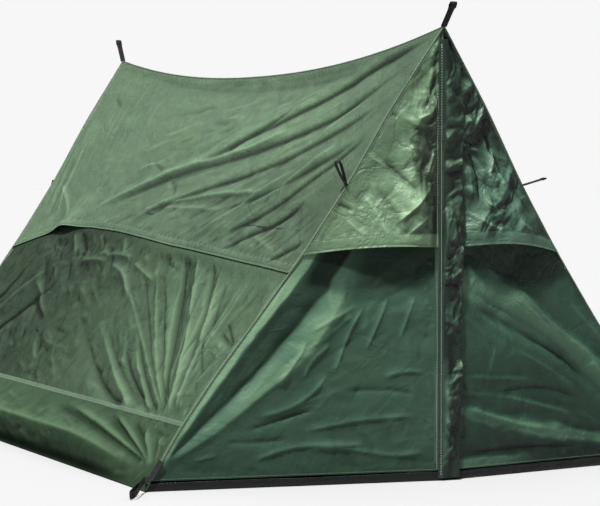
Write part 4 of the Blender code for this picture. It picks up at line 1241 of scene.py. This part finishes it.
# ---- rear end
qs = spaced(-1, 1, .0085)
q2 = np.abs(qs)
rows = []
for back, drop in ((.0210, .0016), (.0120, .0017), (.0040, .0016), (.0006, .0010)):
    z = rear_hem(q2) + back
    rows.append(rear_surface(qs * (half_width(z) - .0006), z, -drop, hood=True))
for k in [0, .0008, .0024, .004, .006, .010, .015, .0195, .0213, .0225, .0237, .0252, .028]:
    z = rear_hem(q2) + k
    rows.append(rear_surface(qs * (half_width(z) - .0006), z, hood=True))
for k in spaced(0, 1, .0095)[1:]:
    z = rear_hem(q2) + .028 + (1.066 - rear_hem(q2) - .028) * k
    rows.append(rear_surface(qs * np.maximum(half_width(z) - .0006, .0012), z, hood=True))
cloth("rear_hood_sheet", np.array(rows), M_REAR, "tent", ["rear_upper_panel"], flip=True)
rows = []
for k in spaced(0, 1, .0105):
    z = SEAM_Z + .0002 + (rear_hem(q2) + .012 - SEAM_Z) * k
    rows.append(rear_surface(qs * (half_width(z) - .0006), z))
cloth("rear_wall_sheet", np.array(rows), M_WALL, "tent", ["rear_lower_panel"], flip=True)
rows = []
for z in spaced(.0012, SEAM_Z, .0040):
    rows.append(rear_surface(qs * (half_width(np.full(qs.shape, z)) - .0006), np.full(qs.shape, z)))
cloth("tub_sheet_rear", np.array(rows), M_TUB, "tent", ["tub_wall_rear"], flip=True)
rows = []
for k in spaced(0, 1, .1):
    z = (rear_hem(q2) + .0145) * (1 - k) + .645 * k
    rows.append(rear_surface(qs[::4] * (half_width(z[::4]) - .006), z[::4], -.0042 - .030 * 0))
cloth("vent_net_rear", np.array(rows), M_NET, "tent", ["vent_mesh_rear"], flip=True)

# ---- floor
rng = np.random.RandomState(5)
xs = spaced(-HALF, HALF, .012)
vs = spaced(0, 1, .006)
X, Vv = np.meshgrid(xs, vs)
yf = Y_FRONT + FRONT_SETBACK * np.abs(X) / HALF
yr = Y_REAR - REAR_SETBACK * np.abs(X) / HALF
Yv = yf + (yr - yf) * Vv
edge = smooth(0, .06, HALF - np.abs(X)) * smooth(0, .03, Vv) * smooth(0, .03, 1 - Vv)
floor_folds = Folds(-712, -1065, 712, 1070, 5)
floor_folds.scatter(301, 90, (-650, -1000, 650, 1000), lambda x, y: 1.2 + .6 * math.sin(x * .01), (80, 320), (8, 18), (1.0, 3.0), jitter=.9)
Z = .0009 + np.abs(floor_folds(X, Yv)) * edge + .0008 * np.abs(fbm(X / .1, Yv / .1, 51)) * edge
cloth("floor_sheet", np.stack([X, Yv, Z], -1), M_FLOOR, "tent", ["groundsheet"])
for side in (-1, 1):
    h = spaced(.0006, HALF - .001, .006)
    rows = []
    for z, o in ((.0196, -.0006), (.0202, .0003), (.0200, .0013), (.0180, .0018), (.0150, .0016), (.0130, .0012), (.0100, .0016), (.0070, .0018), (.0040, .0014), (.0012, .0006), (.0006, -.001), (.0006, -.02)):
        wob = .0010 * fbm(h / .05, h * 0 + z * 40, 61 + side) + .0012 * fbm(h / .2, h * 0, 63 + side, 1)
        zz = z + .0022 * fbm(h / .16, h * 0 + 2, 65 + side, 2) * (z > .01) * smooth(0, .05, h)
        rows.append(end_pt(side, h, np.clip(zz, .0005, .0224), "front", o + wob * (z > .002)))
    cloth("sill_sheet_" + NAME[side], np.array(rows), M_FLOOR, "tent", ["front_sill_" + NAME[side]], flip=side > 0)

# ---- front: gusset above the doors, hoods and lower panels
for side in (-1, 1):
    lr, e = NAME[side], EDGE[side]
    door = "door_" + lr

    cols = spaced(0, 1, .0068)
    rows = []
    for back, drop in ((.0285, .0016), (.0200, .0017), (.0110, .0017), (.0040, .0016), (.0006, .0010)):
        z = front_hem(cols, side) + back
        rows.append(hood_surface(side, e + (half_width(z) - .0006 - e) * cols, z, -drop))
    for up in (0, .0008, .0024, .0040, .0050, .0062, .0100, .0150, .0200, .0250, .0282, .0295, .0308, .0325, .0360):
        z = front_hem(cols, side) + up
        rows.append(hood_surface(side, e + (half_width(z) - .0006 - e) * cols, z))
    for k in spaced(0, 1, .0062)[1:]:
        z = front_hem(cols, side) + .036 + (DOOR_TOP - front_hem(cols, side) - .036) * k
        rows.append(hood_surface(side, e + (half_width(z) - .0006 - e) * cols, z))
    P = np.array(rows)
    cloth("hood_sheet_" + lr, P, M_HOOD_L if side < 0 else M_HOOD_R, door, ["door_%s_hood" % lr],
          flip=side < 0, blend=BLEND[side], painted_shading=hood_painted_shading(side, P))
    rows = []
    cols = spaced(0, 1, .0066, (0, .05, .0042))
    for k in spaced(0, 1, .0078):
        top = front_hem(cols, side) + .012
        z = .0235 + (top - .0235) * k
        rows.append(low_surface(side, e + (half_width(z) - .0006 - e) * cols, z))
    # painted shadow below the hood's hem, reaching furthest down under the middle of each half as the hood's cast
    # shadow would, faded out at the corner seam on the left door; the door's own painted light and shade are added to
    # it
    below = (front_hem(cols, side) - rows_z(rows))
    painted_shading = 1.9 * (1 - smooth(.045 + .040 * np.sin(math.pi * cols), .075 + .045 * np.sin(math.pi * cols), below)) * smooth(0, .04, 1 - cols) * smooth(0, .05, cols + (.03 if side < 0 else 0))
    cloth("door_sheet_" + lr, np.array(rows), M_DOOR_L if side < 0 else M_DOOR_R, door, ["door_%s_lower" % lr],
          flip=side < 0, blend=BLEND[side], painted_shading=painted_shading * (1 if side > 0 else 1 - smooth(.80, .93, cols)) + door_painted_shading(side, np.array(rows)))
    rows = []
    cols = spaced(0, 1, .03)
    for k in spaced(0, 1, .1):
        z = (front_hem(cols, side) + .0145) * (1 - k) + .640 * k
        rows.append(end_pt(side, .0214 * (side < 0) + .0505 * (side > 0) + (half_width(z) - .006 - (.0214 if side < 0 else .0505)) * cols, z, "front", -.0042))
    cloth("door_net_" + lr, np.array(rows), M_NET, door, ["door_%s_vent_mesh" % lr],
          flip=side < 0, blend=BLEND[side])
    # the gusset's half on this side
    rows = []
    e0 = .0004 if side > 0 else .0004
    cols = spaced(0, 1, .03)
    for k in spaced(0, 1, .022):
        z = np.full(cols.shape, DOOR_TOP + (1.066 - DOOR_TOP) * k)
        hw = np.maximum(half_width(z) - .0006, .0012)
        e1 = e + (e0 - e) * smooth(0, .25, k)
        e1 = min(e1, hw[0] * .5)
        rows.append(hood_surface(side, e1 + (hw - e1) * cols, z))
    cloth("gusset_sheet_" + lr, np.array(rows), M_HOOD_L if side < 0 else M_HOOD_R, "tent", ["front_apex_gusset"] if side < 0 else [],
          flip=side < 0, painted_shading=hood_painted_shading(side, np.array(rows)))


# ---- storm flap: sewn to the left door's edge, it covers the zip; x runs to the right
def flap_section(z, k, head=False):
    """Where the flap's cross-section is at k from 0, the sewn edge, to 1, the free edge: x and height off the front."""
    xs = np.array([-.0130, -.0124, -.0105, -.0080, -.0068, -.0045, .0000, .0060, .0130, .0240, .0360, .0470, .0480])
    hs = np.array([.0016, .0026, .0030, .0030, .0036, .0066, .0092, .0102, .0104, .0100, .0097, .0094, .0082])
    ks = (xs - xs[0]) / (xs[-1] - xs[0])
    kk = np.clip(k, 0, 1)
    x = np.interp(kk, ks, xs)
    h = np.interp(kk, ks, hs)
    free = np.interp(z, [0, .15, .30, .45, .60, .80, .915, .96, 1.036], [.0420, .0440, .0470, .0478, .0480, .0480, .0470, .0330, .0080])
    lim = x > -.004
    x = np.where(lim, -.004 + (x + .004) * (free + .004) / (.048 + .004), x)
    return x, h


def flap_surface(z, k, off=0.0):
    z, k = np.broadcast_arrays(np.asarray(z, float), np.asarray(k, float))
    x, h = flap_section(z, k)
    m = smooth(.13, .27, k)
    d = np.maximum(flap_map(x, z) + crumpled(x, z, 8, .034, .0110), -.0034) * m
    roll = .0022 * np.sin(z * 23 + 1.3) * smooth(.5, 1, k) + .0016 * smooth(.4, 1, k)
    y = Y_FRONT + FRONT_SETBACK * np.abs(x) / HALF * .3
    return np.stack([x, y - (h + d + roll * m + off), z], -1)


kk = spaced(0, 1, .034, (.0, .24, .02), (.975, 1, .012))
z0, z1 = .0065, .8000


def flap_grid(zlist):
    rows = [flap_surface(np.full(kk.shape, z), kk) for z in zlist]
    P = np.array(rows)
    # the free edge is turned under by 9 mm
    turn = []
    for back, drop in ((.16, .0012), (.10, .0014), (.03, .0012), (.006, .0007)):
        turn.append(np.array([flap_surface(np.array([z]), np.array([1 - back]), -drop)[0] for z in zlist]))
    turn = np.stack(turn[::-1], 1)
    return np.concatenate([P, turn], 1)




def flap_painted_shading(P):
    # painted light and shade on the storm flap: facets painted lighter or darker by how they face the key light,
    # painted shade that deepens towards the bottom, a painted lit band along the rolled part by the sewn edge; the
    # strip along the sewn edge is darker
    x, z = P[..., 0], P[..., 2]
    strip = 1 - smooth(-.0050, -.0030, x)
    roll = smooth(-.006, -.003, x) * (1 - smooth(.009, .014, x)) * (1 - smooth(.27, .30, z)) * smooth(.02, .05, z)
    f = facing(P, False)
    return (1 - strip) * (1.5 + .5 * (1 - smooth(.3, .6, z)) - np.clip(9.0 * f, -1.1, 5.6) * smooth(-.001, .004, x)) * (1 - .7 * roll) - .5 * roll + .9 * strip


low_flap = flap_grid(spaced(z0, z1 + .008, .0026))
cloth("storm_flap_sheet", low_flap, M_FLAP, "storm_flap", ["storm_flap"], painted_shading=flap_painted_shading(low_flap),
      blend=("door_left", "storm_flap", (0, Y_FRONT, .80), (0, Y_FRONT, .64)))
head_rows = flap_grid(spaced(z1, 1.040, .0040))
head_rows = head_rows.copy()
head_rows[:, :, 1] -= .0006
cloth("flap_head_sheet", head_rows, M_FLAP, "tent", ["storm_flap_head"], blend=BLEND[-1], painted_shading=flap_painted_shading(head_rows))

# ---- zip: tapes and teeth
zz = spaced(.0245, DOOR_TOP, .006)
for side in (-1, 1):
    lr = NAME[side]
    x0, x1 = (.0016, .0210) if side < 0 else (.0016, .0490)
    cols = np.linspace(x0, x1, 7 if side < 0 else 12)
    rows = [end_pt(side, cols, np.full(cols.shape, z), "front", -.0002 + .0010 * vnoise(cols / .012 + 9 * side, cols * 0 + z / .03) * smooth(.010, .03, cols)) for z in zz]
    cloth("zip_tape_sheet_" + lr, np.array(rows), M_TAPE, "door_" + lr, ["zip_tape_left"] if side < 0 else ["zip_facing_right"],
          flip=side < 0, blend=BLEND[side])
    V, F = [], []
    n = int((DOOR_TOP - .026) / .0030)
    for i in range(n):
        z = .026 + i * .0030 + (.0015 if side > 0 else 0)
        c = np.array([side * .0010, Y_FRONT - .0002, z])
        b0 = len(V) * 8
        hx, hy, hz = .0031, .0012, .00075
        box = []
        for dx, dy, dz in ((-1, -1, -1), (1, -1, -1), (1, 1, -1), (-1, 1, -1), (-1, -1, 1), (1, -1, 1), (1, 1, 1), (-1, 1, 1)):
            w = 1.0 if dx * side > 0 else .62
            box.append(c + np.array([dx * hx, dy * hy * w, dz * hz * w]))
        V.append(box)
        F += [(b0, b0 + 3, b0 + 2, b0 + 1), (b0 + 4, b0 + 5, b0 + 6, b0 + 7), (b0, b0 + 1, b0 + 5, b0 + 4), (b0 + 1, b0 + 2, b0 + 6, b0 + 5), (b0 + 2, b0 + 3, b0 + 7, b0 + 6), (b0 + 3, b0, b0 + 4, b0 + 7)]
    me = raw_mesh("zip_teeth_" + lr, np.array(V).reshape(-1, 3), np.array(F), smooth_faces=False)
    o = make_object("zip_teeth_" + lr, me, M_COIL, None)
    if side < 0:
        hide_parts("zip_coil")
    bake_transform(o)


# ================================================================ seams, tapes and stitches
def felled(name, fn, a, rows, mat, body="tent", replaces=(), flip=False):
    """A narrow flat seam that lies on a surface: rows are (offset along the second direction, height)."""
    P = np.array([fn(a, d, h) for d, h in rows])
    X, Y = grid_flat(P)
    me = raw_mesh(name, P.reshape(-1, 3), grid_faces(*P.shape[:2], flip=flip), np.stack([X, Y], -1))
    o = make_object(name, me, mat, body)
    if replaces:
        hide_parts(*replaces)
    return o


thread = {"tent": [], -1: [], 1: []}
for side in (-1, 1):
    lr = NAME[side]
    t = spaced(.001, .999, .0024)
    zu = SEAM_Z / HEIGHT
    felled("side_seam_tape_" + lr, lambda a, d, h: wall_surface(side, a, zu + d / SLOPE, h), t,
           ((-.0058, -.0003), (-.0056, .0008), (-.0040, .0011), (-.0026, .0005), (-.0010, .0012), (.0020, .0012), (.0040, .0006), (.0055, .0011), (.0070, .0008), (.0072, -.0003)), M_BIND, flip=side < 0)
    for d in (-.0026, .0040):
        thread["tent"].append(path_on(lambda a, b, off: wall_surface(side, a, b, off), t, zu + d / SLOPE, .0009))
    lh = (1 - 0.0012 / HEIGHT - side_hem(t)) * SLOPE
    for d in (.0050, .0225):
        thread["tent"].append(path_on(lambda a, b, off: roof_surface(side, a, b, off), t, d / lh, .0003))
    # ridge: a felled seam along the top of each side
    for d in (.0045, .0095):
        thread["tent"].append(path_on(lambda a, b, off: roof_surface(side, a, b, off), t, 1 - d / lh, .0006))

qq = spaced(-1, 1, .006)
for d in (-.0026, .0040):
    z = np.full(qq.shape, SEAM_Z + d)
    thread["tent"].append(path_on(lambda a, b, off: rear_surface(a, b, off), qq * (half_width(z) - .003), z, .0016))
z = rear_hem(np.abs(qq)) + .0225
thread["tent"].append(path_on(lambda a, b, off: rear_surface(a, b, off, hood=True), qq * (half_width(z) - .003), z, .0003))
rowsz = ((-.0058, -.0003), (-.0056, .0008), (-.0026, .0005), (.0000, .0012), (.0040, .0006), (.0070, .0008), (.0072, -.0003))
P = np.array([rear_surface(qq * (half_width(np.full(qq.shape, SEAM_Z + d)) - .002), np.full(qq.shape, SEAM_Z + d), h) for d, h in rowsz])
X, Y = grid_flat(P)
o = make_object("rear_seam_tape", raw_mesh("rear_seam_tape", P.reshape(-1, 3), grid_faces(*P.shape[:2]), np.stack([X, Y], -1)), M_BIND, "tent")


def tube(name, pts, radius, mat, body, replaces=(), sides=8, wob=0.0):
    pts = np.asarray(pts, float)
    T = tangents(pts)
    ref = np.array([.31, .17, .93])
    A = unit(np.cross(T, ref))
    B = np.cross(T, A)
    run = np.concatenate([[0], np.cumsum(np.linalg.norm(np.diff(pts, axis=0), axis=1))])
    r = radius * (1 + wob * vnoise(run / .008, run * 0))
    a = np.linspace(0, 2 * math.pi, sides, endpoint=False)
    V = pts[:, None] + (A[:, None] * np.cos(a)[None, :, None] + B[:, None] * np.sin(a)[None, :, None]) * r[:, None, None]
    n = len(pts)
    i = np.arange(n * sides).reshape(n, sides)
    j = np.roll(i, -1, 1)
    F = np.stack([i[:-1], j[:-1], j[1:], i[1:]], -1).reshape(-1, 4)
    V = V.reshape(-1, 3)
    flat = np.stack([np.repeat(run, sides), np.tile(a * radius, n)], -1)
    o = make_object(name, raw_mesh(name, V, F, flat), mat, body)
    if replaces:
        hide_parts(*replaces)
    return o


u = spaced(.004, .999, .004)
for end in ("front", "rear"):
    for side in (-1, 1):
        lr = NAME[side]
        p = seam(side, u, end)
        out = unit(side_normal(side) + end_normal(side, end))
        tube("corner_piping_%s_%s" % (end, lr), p + out * .0006, .0021, M_BIND, "tent", ["corner_seam_%s_%s" % (end, lr)], wob=.10)
        # a narrow felled edge on the side panels, with two rows of stitches
        sgn = 1 if end == "front" else -1
        tt = (0.0 if end == "front" else 1.0)

        def on_side(a, d, h):
            tcur = tt + sgn * d / LENGTH
            hem = side_hem(tcur)
            s = (a - hem) / (1 - 0.0012 / HEIGHT - hem)
            roofp = roof_surface(side, np.full(a.shape, tcur), np.clip(s, 0, 1), h)
            wallp = wall_surface(side, np.full(a.shape, tcur), a, h)
            return np.where((a > hem)[:, None], roofp, wallp)

        for lo, hi, tag in ((.006, float(side_hem(tt)) - .004, "low"), (float(side_hem(tt)) + .002, .992, "top")):
            ua = spaced(lo, hi, .004)
            felled("corner_tape_%s_%s_%s" % (end, lr, tag), on_side, ua,
                   ((.0008, .0006), (.0020, .0010), (.0034, .0005), (.0050, .0010), (.0072, .0011), (.0086, .0006), (.0096, -.0003)), M_BIND, flip=(side < 0) == (end == "front"))
            for d in (.0034, .0086):
                a = on_side(ua, d, .0009)
                b = on_side(ua, d, .0019)
                thread["tent"].append((a, (b - a) / .001))

t = spaced(.0, 1.0, .004)
ridge = np.stack([0 * t, Y_FRONT + LENGTH * t, HEIGHT - sag(t) - .0004], -1)
tube("ridge_piping", ridge, .0024, M_BIND, "tent", ["ridge_seam"], wob=.10)
stitches("stitches_tent", thread["tent"][:], M_THREAD, "tent", "seam_binding", pitch=.0060, length=.0040, radius=.00050)

for side in (-1, 1):
    lr = NAME[side]
    paths = []
    q = spaced(0.01, .99, .008)
    for up in (.0050, .0295):
        z = front_hem(q, side) + up
        h = EDGE[side] + (half_width(z) - .0006 - EDGE[side]) * q
        paths.append(path_on(lambda a, b, off: hood_surface(side, a, b, off), h, z, .0003))
    z = np.full(q.shape, .0270)
    h = EDGE[side] + (half_width(z) - .003 - EDGE[side]) * q
    paths.append(path_on(lambda a, b, off: low_surface(side, a, b, off), h, z, .0006))
    stitches("stitches_door_" + lr, paths, M_THREAD, None, "canopy_fabric", blend=BLEND[side], pitch=.0060, length=.0040, radius=.00050)
    for end, hood_part in (("front", True),):
        paths = []
        for lo, hi, fn in ((.05, .50, low_surface), (.562, 1.03, hood_surface)):
            z = spaced(lo, hi, .005)
            h = half_width(z) - .0042
            paths.append(path_on(lambda a, b, off: fn(side, a, b, off), h, z, .0009))
        stitches("stitches_corner_" + lr, paths, M_THREAD, "tent", "seam_binding", pitch=.0060, length=.0040, radius=.00050)

# the left door's edge: two pale rows, one beside the flap and one through its sewn edge
paths = []
for lo, hi, fn in ((.026, .548, low_surface), (.556, .914, hood_surface)):
    z = spaced(lo, hi, .005)
    paths.append(path_on(lambda a, b, off: fn(-1, a, b, off), np.full(z.shape, .0152), z, .0010))
stitches("stitches_zip_edge", paths, M_THREAD_LIGHT, None, "canopy_fabric", blend=BLEND[-1], pitch=.0062, length=.0034, radius=.00070)
z = spaced(.012, z1, .005)
stitches("stitches_flap", [path_on(lambda a, b, off: flap_surface(b, a, off), np.full(z.shape, .100), z, .0006)], M_THREAD_LIGHT, None, "flap_fabric",
         blend=("door_left", "storm_flap", (0, Y_FRONT, .80), (0, Y_FRONT, .64)), pitch=.0062, length=.0034, radius=.00070)
z = spaced(z1 + .002, 1.030, .005)
stitches("stitches_flap_head", [path_on(lambda a, b, off: flap_surface(b, a, off), np.full(z.shape, .100), z, .0012)], M_THREAD_LIGHT, None, "flap_fabric",
         blend=BLEND[-1], pitch=.0062, length=.0034, radius=.00070)


# ================================================================ webbing loops
def rounded_path(pts, n):
    p = np.array(pts, float)
    for _ in range(3):
        q = [p[0]]
        for a, b in zip(p[:-1], p[1:]):
            q += [a * .75 + b * .25, a * .25 + b * .75]
        p = np.array(q + [p[-1]])
    run = np.concatenate([[0], np.cumsum(np.linalg.norm(np.diff(p, axis=0), axis=1))])
    at = np.linspace(0, run[-1], n)
    return np.stack([np.interp(at, run, p[:, i]) for i in range(p.shape[1])], -1)


def webbing_loop(name, base, d, width_axis, length, eye=.006, width=.015, sewn=.45, tail=None, flatten=1.0):
    """A strap doubled back on itself: its legs lie together, then part round the eye."""
    d = unit(d)
    a = np.zeros(3)
    a["XYZ".index(width_axis)] = 1.0
    a = unit(a - d * (a @ d))
    e = np.cross(d, a)
    T = .0016
    leg = T * .56
    prof2 = [(-.004, leg), (length * sewn * .5, leg), (length * sewn, leg), (length * (sewn + .16), eye * .55 * flatten), (length * .80, eye * flatten), (length * .93, eye * .92 * flatten), (length * .998, eye * .42 * flatten),
             (length * .998, -eye * .42 * flatten), (length * .93, -eye * .92 * flatten), (length * .80, -eye * flatten), (length * (sewn + .16), -eye * .55 * flatten), (length * sewn, -leg), (length * sewn * .5, -leg), (-.004, -leg)]
    q = rounded_path(prof2, 84)
    c = np.asarray(base, float) + q[:, :1] * d + q[:, 1:] * e
    tan = tangents(c)
    up = unit(np.cross(np.broadcast_to(a, c.shape), tan))
    ribbon(name, c, np.broadcast_to(a, c.shape), up, width, T, M_WEB, "tent", [name.replace("strap_", "")])
    # two bar tacks across the legs
    paths = []
    for at in (length * .10, length * sewn * .86):
        for side in (1, -1):
            s = np.linspace(-.42, .42, 9)[:, None] * width
            pts = np.asarray(base, float) + d * at + e * side * (leg + T * .55) + s * a
            paths.append((pts, np.broadcast_to(e * side, pts.shape)))
            pts2 = pts + d * .0016
            paths.append((pts2, np.broadcast_to(e * side, pts.shape)))
    stitches(name + "_tacks", paths, M_THREAD_DARK, "tent", "webbing", pitch=.0021, length=.0019, radius=.00042)
    return d, a, e


apex_f = np.array([0, Y_FRONT, HEIGHT])
apex_r = np.array([0, Y_REAR, HEIGHT])
d = unit((0, -math.cos(math.radians(47)), math.sin(math.radians(47))))
webbing_loop("strap_apex_loop_front", apex_f + d * .004, d, "X", .070, eye=.0052, sewn=.62)
d = unit((0, math.cos(math.radians(58)), math.sin(math.radians(58))))
webbing_loop("strap_apex_loop_rear", apex_r + d * .004, d, "X", .076, eye=.0052, sewn=.62)
for side in (-1, 1):
    lr = NAME[side]
    d = unit((-.42, -.10, .90)) if side < 0 else unit((.93, -.08, .26))
    webbing_loop("strap_pull_out_loop_front_" + lr, seam(side, np.array(.65), "front") + d * .0050, d, "Y", .060, eye=.0064 if side < 0 else .0020, sewn=.12 if side < 0 else .7)
    d = unit((0, .66, -.75))
    webbing_loop("strap_pull_out_loop_rear_" + lr, seam(side, np.array(.65), "rear") + d * .0050, d, "X", .060, eye=.005, sewn=.3)
    for end, dd in (("front", (side * .56, -.82, -.142)), ("rear", (side * .70, .70, -.142))):
        corner = np.array([side * HALF, Y_FRONT + FRONT_SETBACK if end == "front" else Y_REAR - REAR_SETBACK, .0275])
        d = unit(dd)
        base = corner + unit((d[0], d[1], 0)) * .004
        webbing_loop("strap_stake_loop_%s_%s" % (end, lr), base, d, "Z", .128, eye=.0062, sewn=.30)
        # the strap's tail is sewn up over the seam
        uu = np.linspace(.026, .064, 16)
        out = unit(side_normal(side) + end_normal(side, end))
        p = seam(side, uu, end) + out * .0042
        p = np.concatenate([[base + d * .004 + np.array([0, 0, .002])], p])
        p = rounded_path(p, 26)
        tan = tangents(p)
        acr = unit(np.cross(np.broadcast_to(out, p.shape), tan))
        ribbon("strap_tail_%s_%s" % (end, lr), p, acr, unit(np.cross(tan, acr)) * np.sign((np.cross(tan, acr) @ out))[:, None], .0150, .0016, M_WEB, "tent", crown=-.0006)
        pa = []
        for k in (6, 14, 23):
            s = np.linspace(-.42, .42, 9)[:, None] * .015
            pts = p[k] + acr[k] * s + out * .0011
            pa.append((pts, np.broadcast_to(out, pts.shape)))
        stitches("strap_tail_%s_%s_tacks" % (end, lr), pa, M_THREAD_DARK, "tent", "webbing", pitch=.0021, length=.0019, radius=.00042)

# ================================================================ materials of the CAD pieces that stay
for n, o in NODES.items():
    mat = None
    if "tube" in n:
        mat = M_POLE
    elif "foot" in n:
        mat = M_RUBBER
    elif "tip" in n or "lock" in n:
        mat = M_PLASTIC
    elif "cup" in n:
        mat = M_WEB
    elif n in ("zip_slider", "zip_pull"):
        mat = M_METAL
    if mat is not None:
        o.data.materials.clear()
        o.data.materials.append(mat)

# ================================================================ floor, light
me = bpy.data.meshes.new("studio_floor")
me.from_pydata([(-60, -60, -.0004), (60, -60, -.0004), (60, 60, -.0004), (-60, 60, -.0004)], [], [(0, 1, 2, 3)])
studio = bpy.data.objects.new("studio_floor", me)
scene.collection.objects.link(studio)
m, nt, b = new_material("studio_floor")
b.inputs["Base Color"].default_value = (.37, .37, .37, 1)
b.inputs["Roughness"].default_value = .9
b.inputs["Specular IOR Level"].default_value = .1
me.materials.append(m)

world = bpy.data.worlds.new("studio")
scene.world = world
world.use_nodes = True
wt = world.node_tree
for n in list(wt.nodes):
    wt.nodes.remove(n)
wo = wt.nodes.new("ShaderNodeOutputWorld")
bg = wt.nodes.new("ShaderNodeBackground")
wt.links.new(bg.outputs[0], wo.inputs[0])
gen = wt.nodes.new("ShaderNodeTexCoord")
sep = wt.nodes.new("ShaderNodeSeparateXYZ")
wt.links.new(gen.outputs["Generated"], sep.inputs[0])


def wmath(op, a, b):
    n = wt.nodes.new("ShaderNodeMath")
    n.operation = op
    for i, v in enumerate((a, b)):
        if isinstance(v, (int, float)):
            n.inputs[i].default_value = v
        else:
            wt.links.new(v, n.inputs[i])
    return n.outputs[0]


# white all round for the camera; the light itself comes from a soft ceiling
path = wt.nodes.new("ShaderNodeLightPath")
level = wt.nodes.new("ShaderNodeMapRange")
level.interpolation_type = "SMOOTHSTEP"
level.inputs["From Min"].default_value = -.05
level.inputs["From Max"].default_value = .85
level.inputs["To Min"].default_value = .07
level.inputs["To Max"].default_value = .70
wt.links.new(sep.outputs[2], level.inputs["Value"])
soft = wmath("MULTIPLY", level.outputs["Result"], wmath("SUBTRACT", 1.0, path.outputs["Is Camera Ray"]))
wt.links.new(wmath("ADD", soft, wmath("MULTIPLY", path.outputs["Is Camera Ray"], .93)), bg.inputs["Strength"])
bg.inputs["Color"].default_value = (1, 1, 1, 1)

sun = bpy.data.lights.new("key", "SUN")
sun.energy = 7.0
sun.angle = math.radians(5)
key = bpy.data.objects.new("key", sun)
scene.collection.objects.link(key)
to_light = Vector((-.34, -.30, .89))
key.rotation_mode = "QUATERNION"
key.rotation_quaternion = to_light.to_track_quat("Z", "Y")
key.location = to_light * 6

scene.view_settings.view_transform = "Standard"
scene.view_settings.look = "None"

bpy.context.view_layer.update()
